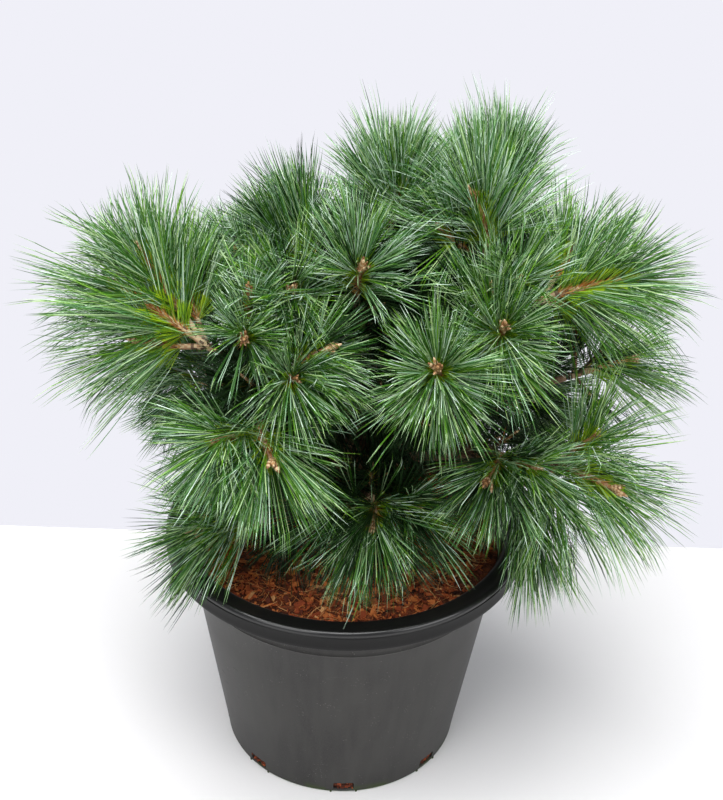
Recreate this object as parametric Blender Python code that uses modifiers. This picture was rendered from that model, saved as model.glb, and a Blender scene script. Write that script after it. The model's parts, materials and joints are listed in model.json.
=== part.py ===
"""A dwarf eastern white pine in a round nursery pot, 0.76 m high.

Metres, +Z up. The origin is the centre of the pot's flat underside, and the front of the plant faces -Y.
The pot holds a plug of bark substrate. The trunk stands on it with a flat cut, and tapers to its tip inside
the top tuft. Boughs leave the trunk or an older bough, and each ends where its mass of needles begins.
A mass is a whorl of shoots, and each shoot is a slim core that sprays of needles stand out of.
"""

import math
import random
from collections import namedtuple

import bmesh
import bpy
import numpy as np
from mathutils import Matrix, Vector

GAP = 0.0003
UP = Vector((0, 0, 1))

# Pot
POT_HEIGHT = 0.285
BASE_RADIUS = 0.1375
SHOULDER_RADIUS = 0.1805
WALL = 0.0025
FLOOR = 0.003
RIM_RADIUS = 0.2015
RIM_DEPTH = 0.025
RIM_ROUND = 0.0045
LIP_INNER_RADIUS = 0.184
LIP_DROP = 0.012
LIP_STEPS = 2
EDGE_STEPS = 3
RIM_CORNER = 0.001
FOOT_BEVEL = 0.003
POT_STEPS = 36
SLOTS = 8
SLOT_TURN = 3.0
SLOT_WIDTH = 0.020
SLOT_HEIGHT = 0.008
SLOT_SILL = 0.0055
SLOT_DEPTH = 0.020
FOOT_NOTCH_WIDTH = 0.025
FOOT_NOTCH_HEIGHT = 0.0015
FOOT_NOTCH_DEPTH = 0.014
FOOT_NOTCH_SHIFT = 0.004

# Substrate
GROUND = 0.268
MOUND = 0.003
MOUND_RINGS = ((0.0, 0.0), (0.045, 0.0), (0.080, 1.0), (0.130, 0.4))
EDGE_SLOPES = ((0.006, 1.0), (0.001, 2.0))

# Trunk
TRUNK_TIP = Vector((0.032, 0.015, 0.612))
TRUNK_BEND = Vector((0.0, 0.0, 0.450))
TRUNK_RADIUS = 0.021
TRUNK_TIP_RADIUS = 0.0042
FLARE = 0.010
FLARE_HEIGHT = 0.018
TRUNK_POINTS = 9
FLARE_CROWDING = 1.6
TAPER_POWER = 0.8
TRUNK_ROUNDNESS = 3

# Boughs
BOUGH_RADIUS = 0.0085
FORK_RADIUS = 0.0060
BOUGH_TIP_RADIUS = 0.0036
BOUGH_POINTS = 6
PARENT_SHARE = 0.8
BOUGH_SWEEP = 0.6
BOUGH_ROUNDNESS = 1
CUT_GAP = 1.1 * GAP

# Shoots and needles
NEEDLE_LENGTH = 0.098
SPRAY_WIDTH = 0.0105
SPRAY_THICKNESS = 0.0030
SPRAY_WIDEST = 0.52
ROOT_DEPTH = 0.004
SPRAYS_ON_LEADER = 10
SPRAYS_ON_SIDE = 8
SPREAD_AT_STEM = 84
SPREAD_AT_BUD = 22
SPREAD_POWER = 1.2
SHORTEST = 0.93
LONGEST = 1.05
FOOT_WIDTH_SHARE = 0.2
DROOP = 0.12
TRIES = 7
TRY_TURN = 0.45
SEED = 7
SHOOT_SHARES = (0.0, 0.40, 0.72, 1.0)
WHORL_SHARE = 0.10
LEADER_SWEEP = 0.4
SIDE_SWEEP = 0.5
SIDE_THICKNESS = 0.8
SIDE_LIFT = 0.15
CORE_RADIUS = 0.0062
CORE_TAPER = 0.85
BUD_RADIUS = 0.0030
SIDE_SHARE = 0.85
REACH_OVER = 0.022
CLEARANCE = 0.0012
PROBES = 12
GOLDEN_ANGLE = math.radians(137.508)

# Each row is one bough and the mass at its end. A bough leaves the trunk at a height in metres, or an older
# bough at a share of its length. The bud that the leading shoot ends in is placed by its bearing round the
# trunk (0 is +X, -90 the front), its distance from the trunk's foot and its height. Then come the leading
# shoot's own bearing, rise and length, and how many side shoots the whorl has, how far they spread from
# the leader, and where round it the first one stands.
Limb = namedtuple(
    "Limb",
    "name parent leaves bud_bearing bud_reach bud_height bearing rise length sides spread roll",
)
LIMBS = [
    Limb("top", "trunk", 1.0, 29, 0.041, 0.676, 67, 81, 0.070, 2, 42, 160),
    Limb("left", "trunk", 0.375, -170, 0.234, 0.583, 159, 26, 0.123, 2, 42, 12),
    Limb("left_front", "left", 0.62, -122, 0.178, 0.582, -93, 36, 0.090, 1, 35, 90),
    Limb("left_under", "left", 0.42, -141, 0.159, 0.462, -160, 15, 0.080, 1, 40, 180),
    Limb("low_left", "trunk", 0.298, -143, 0.182, 0.341, -154, 3, 0.080, 1, 40, 90),
    Limb("front_left", "trunk", 0.345, -108, 0.211, 0.484, -79, 6, 0.082, 1, 45, 180),
    Limb("low_front", "trunk", 0.310, -79, 0.153, 0.381, -88, 10, 0.070, 2, 50, 0),
    Limb("front", "trunk", 0.395, -67, 0.206, 0.576, -87, 40, 0.092, 2, 28, 20),
    Limb("mid_front", "front_left", 0.60, -99, 0.142, 0.567, -28, 41, 0.070, 1, 45, 200),
    Limb("upper_front", "trunk", 0.505, -84, 0.090, 0.627, -85, 51, 0.070, 1, 45, 90),
    Limb("upper_left", "trunk", 0.470, -121, 0.105, 0.604, -100, 46, 0.072, 1, 45, 270),
    Limb("crest", "trunk", 0.475, -10, 0.118, 0.675, -136, 78, 0.080, 1, 45, 250),
    Limb("crest_back", "crest", 0.50, 28, 0.173, 0.674, 60, 66, 0.080, 1, 40, 20),
    Limb("right", "trunk", 0.430, -8, 0.276, 0.604, 11, 12, 0.107, 2, 45, 8),
    Limb("right_front", "right", 0.45, -45, 0.199, 0.595, -73, 42, 0.080, 1, 40, 90),
    Limb("right_upper", "right", 0.62, -30, 0.182, 0.622, -66, 46, 0.070, 0, 40, 0),
    Limb("right_middle", "trunk", 0.378, 7, 0.305, 0.480, 23, 7, 0.080, 1, 40, 90),
    Limb("right_low", "trunk", 0.350, -20, 0.288, 0.400, -25, -6, 0.075, 3, 50, -30),
    Limb("front_right", "right_low", 0.45, -47, 0.204, 0.438, -99, 8, 0.070, 1, 45, 0),
    Limb("low_right", "trunk", 0.300, -27, 0.221, 0.340, -60, -31, 0.070, 1, 50, 60),
    Limb("side_left", "trunk", 0.432, 153, 0.133, 0.578, 180, 58, 0.070, 1, 45, 250),
    Limb("back_left_top", "trunk", 0.490, 115, 0.144, 0.598, 121, 45, 0.080, 1, 45, 0),
    Limb("back_top", "trunk", 0.515, 55, 0.120, 0.640, 55, 65, 0.080, 1, 45, 0),
    Limb("back_right", "trunk", 0.410, 38, 0.250, 0.560, 38, 30, 0.090, 3, 45, 90),
    Limb("back", "trunk", 0.455, 82, 0.220, 0.550, 82, 38, 0.090, 3, 45, 90),
    Limb("back_left", "trunk", 0.400, 128, 0.240, 0.520, 128, 28, 0.090, 3, 45, 90),
    Limb("back_right_low", "trunk", 0.322, 25, 0.260, 0.400, 25, 8, 0.090, 2, 45, 90),
    Limb("back_low", "trunk", 0.305, 78, 0.250, 0.390, 78, 6, 0.090, 2, 45, 90),
    Limb("back_left_low", "trunk", 0.315, 152, 0.250, 0.410, 152, 8, 0.090, 2, 45, 90),
]


# Objects, materials and Booleans
def clear_scene():
    for found in list(bpy.data.objects):
        bpy.data.objects.remove(found, do_unlink=True)


def collection(name):
    made = bpy.data.collections.new(name)
    bpy.context.scene.collection.children.link(made)
    return made


def material(name, colour, roughness, metallic=0.0):
    made = bpy.data.materials.new(name)
    made.use_nodes = True
    shader = made.node_tree.nodes["Principled BSDF"]
    shader.inputs["Base Color"].default_value = (*colour, 1.0)
    shader.inputs["Roughness"].default_value = roughness
    shader.inputs["Metallic"].default_value = metallic
    made.diffuse_color = (*colour, 1.0)
    return made


def add_object(name, data, place, finish=None):
    made = bpy.data.objects.new(name, data)
    place.objects.link(made)
    if finish is not None:
        made.data.materials.append(finish)
    return made


def evaluated_mesh(source):
    bpy.context.view_layer.update()
    graph = bpy.context.evaluated_depsgraph_get()
    return bpy.data.meshes.new_from_object(source.evaluated_get(graph), depsgraph=graph)


def apply_modifiers(target):
    mesh = evaluated_mesh(target)
    target.modifiers.clear()
    target.data = mesh


def as_mesh(curve_object):
    """The curve made a mesh, with its caps welded on, under the same name, place and materials."""
    mesh = evaluated_mesh(curve_object)
    shape = bmesh.new()
    shape.from_mesh(mesh)
    bmesh.ops.remove_doubles(shape, verts=shape.verts, dist=1e-6)
    shape.to_mesh(mesh)
    shape.free()
    name = curve_object.name
    place = curve_object.users_collection[0]
    matrix = curve_object.matrix_world.copy()
    bpy.data.objects.remove(curve_object, do_unlink=True)
    made = add_object(name, mesh, place)
    made.matrix_world = matrix
    return made


def boolean(target, operation, other=None, group=None):
    """One Boolean with an object or with all the objects of a collection, applied."""
    change = target.modifiers.new(operation.lower(), "BOOLEAN")
    change.operation = operation
    change.solver = "EXACT"
    if group is None:
        change.object = other
    else:
        change.operand_type = "COLLECTION"
        change.collection = group
    apply_modifiers(target)


def empty(group):
    for found in list(group.objects):
        bpy.data.objects.remove(found, do_unlink=True)


def keep_largest_body(target):
    """Drops loose scraps, and fills a sealed hollow by dropping its wall."""
    shape = bmesh.new()
    shape.from_mesh(target.data)
    unseen = set(shape.verts)
    bodies = []
    while unseen:
        body = set()
        front = {unseen.pop()}
        while front:
            body |= front
            near = {edge.other_vert(vert) for vert in front for edge in vert.link_edges}
            front = near - body
        unseen -= body
        bodies.append(body)
    largest = max(bodies, key=len)
    scraps = [vert for body in bodies if body is not largest for vert in body]
    bmesh.ops.delete(shape, geom=scraps, context="VERTS")
    shape.to_mesh(target.data)
    shape.free()


def tube(name, points, radii, place, finish, resolution):
    """A round tube along the points, with the radius given at each, and flat ends."""
    curve = bpy.data.curves.new(name, "CURVE")
    curve.dimensions = "3D"
    curve.bevel_depth = 1.0
    curve.bevel_resolution = resolution
    curve.use_fill_caps = True
    spline = curve.splines.new("POLY")
    spline.points.add(len(points) - 1)
    for spline_point, point, radius in zip(spline.points, points, radii):
        spline_point.co = (*point, 1.0)
        spline_point.radius = radius
    return add_object(name, curve, place, finish)


# Paths and directions
def direction(bearing, rise):
    """The unit vector that points along a compass bearing and up by a rise, both in degrees."""
    around = math.radians(bearing)
    lift = math.radians(rise)
    return Vector(
        (
            math.cos(lift) * math.cos(around),
            math.cos(lift) * math.sin(around),
            math.sin(lift),
        )
    )


def bend(start, control, end, share):
    """The point at a share of the way along a quadratic curve."""
    left = 1 - share
    return left * left * start + 2 * left * share * control + share * share * end


def bend_points(start, control, end, count):
    return [bend(start, control, end, step / (count - 1)) for step in range(count)]


def across(axis):
    """Two unit vectors square to an axis and to each other, the first one level."""
    side = UP.cross(axis)
    if side.length < 1e-3:
        side = Vector((1, 0, 0))
    side.normalize()
    return side, axis.cross(side).normalized()


def leaning(axis, angle, turn):
    """The axis tipped over by an angle, towards a turn round it."""
    side, upper = across(axis)
    outward = math.cos(turn) * side + math.sin(turn) * upper
    return math.cos(angle) * axis + math.sin(angle) * outward


# Trunk and boughs
def trunk_radius(share):
    height = share * (TRUNK_TIP.z - GROUND)
    taper = TRUNK_RADIUS + (TRUNK_TIP_RADIUS - TRUNK_RADIUS) * share**TAPER_POWER
    return taper + FLARE * math.exp(-height / FLARE_HEIGHT)


def trunk_path():
    """The trunk's centre line, with its points closer together in the root flare."""
    foot = Vector((0, 0, GROUND + GAP))
    shares = [(step / (TRUNK_POINTS - 1)) ** FLARE_CROWDING for step in range(TRUNK_POINTS)]
    points = [bend(foot, TRUNK_BEND, TRUNK_TIP, share) for share in shares]
    return points, [trunk_radius(share) for share in shares]


def bud_of(limb):
    flat = direction(limb.bud_bearing, 0) * limb.bud_reach
    return flat + UP * limb.bud_height


def bough_path(limb, paths):
    """Points and radii from inside the parent to where the mass begins, ending in line with its leader."""
    points, radii = paths[limb.parent]
    if limb.parent == "trunk":
        step = next(i for i, point in enumerate(points) if point.z > limb.leaves)
        share = (limb.leaves - points[step - 1].z) / (points[step].z - points[step - 1].z)
        first = BOUGH_RADIUS
    else:
        place = limb.leaves * (len(points) - 1)
        step = int(place) + 1
        share = place - int(place)
        first = FORK_RADIUS
    start = points[step - 1].lerp(points[step], share)
    parent_radius = radii[step - 1] + (radii[step] - radii[step - 1]) * share
    first = min(first, PARENT_SHARE * parent_radius)
    leader = direction(limb.bearing, limb.rise)
    tip = bud_of(limb) - leader * limb.length
    chord = tip - start
    straight = start + chord / 2
    in_line = tip - leader * chord.length / 2
    control = straight.lerp(in_line, BOUGH_SWEEP)
    path = bend_points(start, control, tip, BOUGH_POINTS)
    widths = [
        first + (BOUGH_TIP_RADIUS - first) * (step / (BOUGH_POINTS - 1)) ** TAPER_POWER
        for step in range(BOUGH_POINTS)
    ]
    return path, widths


def make_bough(limb, paths, place, helpers, finish):
    """One tapering limb, cut 0.3 mm clear of the trunk or bough that it leaves."""
    points, radii = paths[limb.name]
    made = as_mesh(tube(limb.name + "_bough", points, radii, place, None, BOUGH_ROUNDNESS))
    parent_points, parent_radii = paths[limb.parent]
    fatter = [radius + CUT_GAP for radius in parent_radii]
    roundness = TRUNK_ROUNDNESS if limb.parent == "trunk" else BOUGH_ROUNDNESS
    cutter = as_mesh(tube("cutter", parent_points, fatter, helpers, None, roundness))
    boolean(made, "DIFFERENCE", other=cutter)
    empty(helpers)
    keep_largest_body(made)
    made.data.materials.clear()
    made.data.materials.append(finish)
    return made


# Shoots and sprays of needles
Shoot = namedtuple("Shoot", "mass points radii sprays")
Spray = namedtuple("Spray", "root way length")


def limb_end(limb, paths):
    """Where a mass begins, and the way that its bough, or the trunk, points there."""
    points, _ = paths.get(limb.name, paths[limb.parent])
    return points[-1], (points[-1] - points[-2]).normalized()


def shoot_radii(first):
    """A stem that swells into the slim core of packed needle feet, then the bud."""
    return [first, CORE_RADIUS, CORE_TAPER * CORE_RADIUS, BUD_RADIUS]


def shoots_of(limb, paths):
    """The leading shoot and the side shoots of its whorl."""
    tip, along = limb_end(limb, paths)
    foot = tip + along * GAP
    start = foot + along * BOUGH_TIP_RADIUS
    bud = bud_of(limb)
    control = start + along * LEADER_SWEEP * limb.length
    points = [foot] + [bend(start, control, bud, share) for share in SHOOT_SHARES]
    radii = [BOUGH_TIP_RADIUS] + shoot_radii(BOUGH_TIP_RADIUS)
    found = [Shoot(limb.name, points, radii, SPRAYS_ON_LEADER)]
    leader = (bud - start).normalized()
    whorl = bend(start, control, bud, WHORL_SHARE)
    for number in range(limb.sides):
        turn = math.radians(limb.roll) + number * math.tau / limb.sides
        out = leaning(leader, math.radians(limb.spread), turn)
        length = SIDE_SHARE * limb.length
        end = whorl + (out + SIDE_LIFT * UP).normalized() * length
        control = whorl + out * SIDE_SWEEP * length
        points = [bend(whorl, control, end, share) for share in SHOOT_SHARES]
        radii = shoot_radii(SIDE_THICKNESS * BOUGH_TIP_RADIUS)
        found.append(Shoot(limb.name, points, radii, SPRAYS_ON_SIDE))
    return found


def core_point(shoot, share):
    """A point on the needled part of a shoot's centre line, and the way the shoot runs there."""
    places = shoot.points[-3:]
    where = share * (len(places) - 1)
    step = min(int(where), len(places) - 2)
    along = (places[step + 1] - places[step]).normalized()
    return places[step].lerp(places[step + 1], where - step), along


def spray_on(shoot, number, turn, dice):
    """Spray number so many of a shoot: near the stem it stands out square, near the bud it points ahead."""
    share = (number + 0.5) / shoot.sprays
    root, along = core_point(shoot, share)
    spread = SPREAD_AT_STEM + (SPREAD_AT_BUD - SPREAD_AT_STEM) * share**SPREAD_POWER
    around = number * GOLDEN_ANGLE + turn
    way = leaning(along, math.radians(spread), around) - DROOP * UP
    return Spray(root, way.normalized(), NEEDLE_LENGTH * dice.uniform(SHORTEST, LONGEST))


def spray_rods(spray):
    """The spray as two tapering rods, for measuring how near it comes to others."""
    foot = spray.root + spray.way * CORE_RADIUS
    middle = spray.root + spray.way * spray.length * SPRAY_WIDEST
    tip = spray.root + spray.way * spray.length
    half = SPRAY_WIDTH / 2
    return [(foot, middle, FOOT_WIDTH_SHARE * half, half), (middle, tip, half, 0.0)]


class Space:
    """The rods that fill the crown so far, each with the mass or limb that owns it."""

    def __init__(self):
        self.owners = []
        self.rods = []

    def add(self, owner, start, end, first, last):
        self.owners.append(owner)
        self.rods.append([*start, *end, first, last])

    def add_path(self, owner, points, radii):
        for step in range(len(points) - 1):
            self.add(owner, points[step], points[step + 1], radii[step], radii[step + 1])

    def gap(self, owner, start, end, first, last):
        """The least free distance from this rod to those of every other owner."""
        others = np.array([name != owner for name in self.owners])
        rods = np.array(self.rods)[others]
        if not len(rods):
            return math.inf
        distance, here, there = rod_distance(np.array(start), np.array(end), rods[:, :3], rods[:, 3:6])
        mine = first + (last - first) * here
        theirs = rods[:, 6] + (rods[:, 7] - rods[:, 6]) * there
        return float((distance - mine - theirs).min())


def rod_distance(start, end, starts, ends):
    """The distance from one line piece to each of many, and where along each the nearest points lie."""
    one = end - start
    many = ends - starts
    apart = start - starts
    a = one @ one
    e = np.einsum("ij,ij->i", many, many)
    b = many @ one
    c = apart @ one
    f = np.einsum("ij,ij->i", many, apart)
    bottom = a * e - b * b
    here = np.clip(np.where(bottom > 1e-12, (b * f - c * e) / np.maximum(bottom, 1e-12), 0.0), 0, 1)
    there = np.clip((b * here + f) / e, 0, 1)
    here = np.clip((b * there - c) / a, 0, 1)
    nearest = start + here[:, None] * one - starts - there[:, None] * many
    return np.linalg.norm(nearest, axis=1), here, there


def clear_of_pot(start, end, radius):
    """Whether a rod stays over the substrate, over the rim or outside it."""
    for step in range(PROBES + 1):
        point = start.lerp(end, step / PROBES)
        out = math.hypot(point.x, point.y)
        above_rim = point.z > POT_HEIGHT + radius + CLEARANCE
        outside = out > RIM_RADIUS + radius + CLEARANCE
        inside = out < SHOULDER_RADIUS - 2 * WALL - radius and point.z > GROUND + radius + CLEARANCE
        if not (above_rim or outside or inside):
            return False
    return True


def in_own_space(spray, mass, cores):
    """Whether the spray's tip is nearer to its own mass's cores than to others, or hardly past the middle."""
    tip = spray.root + spray.way * spray.length
    nearest = {}
    for shoot in cores:
        for point in shoot.points[-3:]:
            away = (tip - point).length
            nearest[shoot.mass] = min(away, nearest.get(shoot.mass, math.inf))
    others = min(away for name, away in nearest.items() if name != mass)
    return nearest[mass] < others + REACH_OVER


def fits(spray, mass, space, cores):
    if not in_own_space(spray, mass, cores):
        return False
    for start, end, first, last in spray_rods(spray):
        if not clear_of_pot(start, end, max(first, last)):
            return False
        if space.gap(mass, start, end, first, last) < CLEARANCE:
            return False
    return True


def shoot_fits(shoot, space):
    for step in range(1, len(shoot.points) - 1):
        start, end = shoot.points[step : step + 2]
        first, last = shoot.radii[step : step + 2]
        if space.gap(shoot.mass, start, end, first, last) < 2 * CLEARANCE:
            return False
        if not clear_of_pot(start, end, max(first, last)):
            return False
    return True


def plan_masses(paths):
    """Every shoot and spray of the crown: those that would touch a limb or another mass are skipped."""
    space = Space()
    for name, (points, radii) in paths.items():
        space.add_path(name, points, radii)
    whorls = {limb.name: shoots_of(limb, paths) for limb in LIMBS}
    kept = []
    for rank in range(max(len(whorl) for whorl in whorls.values())):
        for whorl in whorls.values():
            if rank < len(whorl) and (rank == 0 or shoot_fits(whorl[rank], space)):
                kept.append(whorl[rank])
                space.add_path(whorl[rank].mass, whorl[rank].points, whorl[rank].radii)
    sprays = {limb.name: [] for limb in LIMBS}
    dice = random.Random(SEED)
    for number in reversed(range(SPRAYS_ON_LEADER)):
        for shoot in kept:
            if number >= shoot.sprays:
                continue
            first_turn = dice.uniform(0, math.tau)
            for attempt in range(TRIES):
                turn = first_turn + attempt * TRY_TURN
                spray = spray_on(shoot, number, turn, dice)
                if fits(spray, shoot.mass, space, kept):
                    sprays[shoot.mass].append(spray)
                    for rod in spray_rods(spray):
                        space.add(shoot.mass, *rod)
                    break
    return kept, sprays


def lance():
    """A spray of needles of unit length and width: a three-sided blade, pointed at its root and its tip."""
    shape = bmesh.new()
    reach = 1 / math.sqrt(3)
    bmesh.ops.create_cone(
        shape,
        cap_ends=True,
        segments=3,
        radius1=0.0,
        radius2=reach,
        depth=SPRAY_WIDEST,
        matrix=Matrix.Translation((0, 0, SPRAY_WIDEST / 2)),
    )
    shape.faces.ensure_lookup_table()
    top = max(shape.faces, key=lambda face: face.calc_center_median().z)
    bmesh.ops.poke(shape, faces=[top], offset=1 - SPRAY_WIDEST)
    mesh = bpy.data.meshes.new("lance")
    shape.to_mesh(mesh)
    shape.free()
    return mesh


def spray_matrix(spray):
    """Places the unit lance, with its flat side facing the sky as far as its way lets it."""
    side, upper = across(spray.way)
    turned = Matrix((side, upper, spray.way)).transposed().to_4x4()
    deep = SPRAY_THICKNESS * 2 / math.sqrt(3)
    size = Matrix.Diagonal((SPRAY_WIDTH, deep, spray.length + ROOT_DEPTH, 1))
    return Matrix.Translation(spray.root - ROOT_DEPTH * spray.way) @ turned @ size


def make_mass(name, shoots, sprays, blade, place, helpers, finish):
    """One mass: its shoots and sprays fused into a single body."""
    tubes = [as_mesh(tube(name, shoot.points, shoot.radii, helpers, None, 0)) for shoot in shoots]
    leader = tubes[0]
    helpers.objects.unlink(leader)
    place.objects.link(leader)
    leader.name = name + "_needles"
    for number, spray in enumerate(sprays):
        piece = add_object(f"{name}_spray_{number}", blade, helpers)
        piece.matrix_world = spray_matrix(spray)
    boolean(leader, "UNION", group=helpers)
    empty(helpers)
    keep_largest_body(leader)
    leader.data.materials.clear()
    leader.data.materials.append(finish)
    return leader


# Pot and substrate
def turned(name, profile, steps, place, finish):
    """A profile of (radius, height) points turned round the Z axis."""
    mesh = bpy.data.meshes.new(name)
    points = [(radius, 0.0, height) for radius, height in profile]
    mesh.from_pydata(points, [(i, i + 1) for i in range(len(points) - 1)], [])
    made = add_object(name, mesh, place)
    turn = made.modifiers.new("turn", "SCREW")
    turn.steps = steps
    turn.render_steps = steps
    turn.use_merge_vertices = True
    turn.merge_threshold = 0.0001
    turn.use_normal_calculate = False
    apply_modifiers(made)
    made.data.materials.append(finish)
    return made


def wall_radius(height):
    """The outer radius of the pot's tapering wall."""
    return BASE_RADIUS + (SHOULDER_RADIUS - BASE_RADIUS) * height / POT_HEIGHT


def quarter_round(radius, height, first_angle, steps):
    """A quarter circle of the rim's rounding, clockwise from an angle in degrees round its centre."""
    points = []
    for step in range(steps + 1):
        angle = math.radians(first_angle - 90 * step / steps)
        points.append((radius + RIM_ROUND * math.cos(angle), height + RIM_ROUND * math.sin(angle)))
    return points


def pot_profile():
    """The pot's section, from the middle of its floor up the inside, over the rim and down the outside."""
    skirt = POT_HEIGHT - RIM_DEPTH
    under_rim = POT_HEIGHT - RIM_ROUND
    inside = [(0.0, FLOOR), (wall_radius(FLOOR) - WALL, FLOOR)]
    inside += [(wall_radius(under_rim - LIP_DROP) - WALL, under_rim - LIP_DROP)]
    lip = quarter_round(LIP_INNER_RADIUS, under_rim, 180, LIP_STEPS)
    edge = quarter_round(RIM_RADIUS - RIM_ROUND, under_rim, 90, EDGE_STEPS)
    under = [
        (RIM_RADIUS, skirt),
        (RIM_RADIUS - WALL, skirt),
        (RIM_RADIUS - WALL, under_rim - WALL / 2),
        (wall_radius(under_rim) + RIM_CORNER, under_rim - WALL / 2),
    ]
    foot = [(wall_radius(FOOT_BEVEL), FOOT_BEVEL), (BASE_RADIUS - FOOT_BEVEL, 0.0), (0.0, 0.0)]
    return inside + lip + edge + under + foot


def make_box(name, size, matrix, place):
    shape = bmesh.new()
    bmesh.ops.create_cube(shape, size=1.0, matrix=matrix @ Matrix.Diagonal((*size, 1)))
    mesh = bpy.data.meshes.new(name)
    shape.to_mesh(mesh)
    shape.free()
    return add_object(name, mesh, place)


def make_pot(place, helpers, finish):
    """The pot, with its drainage slots and the notches in its foot under them."""
    pot = turned("pot", pot_profile(), POT_STEPS, place, finish)
    for number in range(SLOTS):
        bearing = math.radians(-90 + SLOT_TURN) + number * math.tau / SLOTS
        wall = Matrix.Rotation(bearing, 4, "Z") @ Matrix.Translation((BASE_RADIUS, 0, 0))
        slot = wall @ Matrix.Translation((0, 0, SLOT_SILL + SLOT_HEIGHT / 2))
        make_box("slot", (SLOT_DEPTH, SLOT_WIDTH, SLOT_HEIGHT), slot, helpers)
        notch = wall @ Matrix.Translation((FOOT_NOTCH_SHIFT, 0, 0))
        notch_size = (FOOT_NOTCH_DEPTH, FOOT_NOTCH_WIDTH, 2 * FOOT_NOTCH_HEIGHT)
        make_box("notch", notch_size, notch, helpers)
    boolean(pot, "DIFFERENCE", group=helpers)
    empty(helpers)
    keep_largest_body(pot)
    return pot


def make_substrate(place, finish):
    """The plug of bark that fills the pot, 0.3 mm clear of it, a little mounded round the trunk."""
    edge = wall_radius(GROUND - MOUND) - WALL - GAP
    top = [(radius, GROUND - drop * MOUND) for radius, drop in MOUND_RINGS]
    rim = [(edge - inset, GROUND - drop * MOUND) for inset, drop in EDGE_SLOPES]
    bottom = [(wall_radius(FLOOR) - WALL - GAP, FLOOR + GAP), (0.0, FLOOR + GAP)]
    return turned("substrate", top + rim + bottom, POT_STEPS, place, finish)


def make_trunk(paths, place, finish):
    points, radii = paths["trunk"]
    made = as_mesh(tube("trunk", points, radii, place, None, TRUNK_ROUNDNESS))
    made.data.materials.clear()
    made.data.materials.append(finish)
    return made


def main():
    clear_scene()
    place = collection("potted_white_pine")
    helpers = collection("cutters")
    plastic = material("pot_plastic", (0.055, 0.055, 0.056), 0.45)
    bark_chips = material("bark_substrate", (0.22, 0.075, 0.03), 0.95)
    bark = material("bark", (0.30, 0.20, 0.13), 0.9)
    needles = material("needles", (0.075, 0.17, 0.10), 0.55)

    make_pot(place, helpers, plastic)
    make_substrate(place, bark_chips)
    paths = {"trunk": trunk_path()}
    for limb in LIMBS:
        if limb.leaves < 1:
            paths[limb.name] = bough_path(limb, paths)
    make_trunk(paths, place, bark)
    for limb in LIMBS:
        if limb.name in paths:
            make_bough(limb, paths, place, helpers, bark)
    shoots, sprays = plan_masses(paths)
    blade = lance()
    for limb in LIMBS:
        whorl = [shoot for shoot in shoots if shoot.mass == limb.name]
        make_mass(limb.name, whorl, sprays[limb.name], blade, place, helpers, needles)


main()
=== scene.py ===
# %% [markdown]
# # A dwarf white pine in a nursery pot
# The plant is a low, wide pine whose shoots each end in a brush of long soft needles. Its solids already
# exist, at their real size, so this script only dresses them. Loading them first gives every later cell
# its places and sizes, which is safer than typing them in again.

# %% Load the solids
import json
import math
import random
from collections import namedtuple

import bmesh
import bpy
import numpy as np
from mathutils import Matrix, Vector, noise

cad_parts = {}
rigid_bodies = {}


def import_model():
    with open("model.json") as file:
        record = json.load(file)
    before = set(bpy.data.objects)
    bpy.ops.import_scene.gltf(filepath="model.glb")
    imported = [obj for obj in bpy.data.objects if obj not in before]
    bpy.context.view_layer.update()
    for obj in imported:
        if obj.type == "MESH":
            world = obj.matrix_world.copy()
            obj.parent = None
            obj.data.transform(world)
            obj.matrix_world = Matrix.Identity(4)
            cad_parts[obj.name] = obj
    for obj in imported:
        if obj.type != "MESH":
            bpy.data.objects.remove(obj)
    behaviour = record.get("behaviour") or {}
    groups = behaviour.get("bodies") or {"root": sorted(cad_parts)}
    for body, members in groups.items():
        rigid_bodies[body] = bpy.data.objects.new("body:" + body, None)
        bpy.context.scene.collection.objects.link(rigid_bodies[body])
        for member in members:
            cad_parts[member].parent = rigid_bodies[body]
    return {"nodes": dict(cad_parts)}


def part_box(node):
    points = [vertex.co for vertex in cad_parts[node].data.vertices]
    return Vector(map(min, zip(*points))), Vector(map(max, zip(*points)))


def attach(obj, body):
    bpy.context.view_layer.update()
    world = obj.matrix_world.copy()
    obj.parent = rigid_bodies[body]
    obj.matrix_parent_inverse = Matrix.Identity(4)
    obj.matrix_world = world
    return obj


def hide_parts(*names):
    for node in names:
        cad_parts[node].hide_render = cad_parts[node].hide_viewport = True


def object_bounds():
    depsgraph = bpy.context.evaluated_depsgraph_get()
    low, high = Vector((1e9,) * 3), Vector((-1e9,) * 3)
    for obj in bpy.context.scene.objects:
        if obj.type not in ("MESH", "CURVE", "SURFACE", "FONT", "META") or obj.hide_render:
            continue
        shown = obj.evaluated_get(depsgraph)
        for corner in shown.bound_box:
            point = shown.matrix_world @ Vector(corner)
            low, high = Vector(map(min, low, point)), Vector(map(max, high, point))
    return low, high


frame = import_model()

solid_low, solid_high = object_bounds()
NODES = sorted(frame["nodes"])
NEEDLE_NODES = [name for name in NODES if name.endswith("_needles")]
BOUGH_NODES = [name for name in NODES if name.endswith("_bough")]
print("solids:", len(NODES), "box", [round(value, 3) for value in (*solid_low, *solid_high)])

# %% [markdown]
# ## Camera
# The picture was taken from a little over a metre away, looking down at the plant. A camera object holds
# its place as a matrix: move it there, tip it down from the level, then roll it a touch about its own
# view axis. The lens is given in millimetres for a 36 mm sensor.

# %% Camera
CAMERA_PLACE = (0.0137, -1.1394, 1.070)
CAMERA_DOWN = 29.0
CAMERA_ROLL = 1.84
LENS = 54.67
SENSOR = 36.0


def placed(name, data, collection=bpy.context.scene.collection):
    """A new object in the scene, or in a collection of its own."""
    made = bpy.data.objects.new(name, data)
    collection.objects.link(made)
    return made


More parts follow.
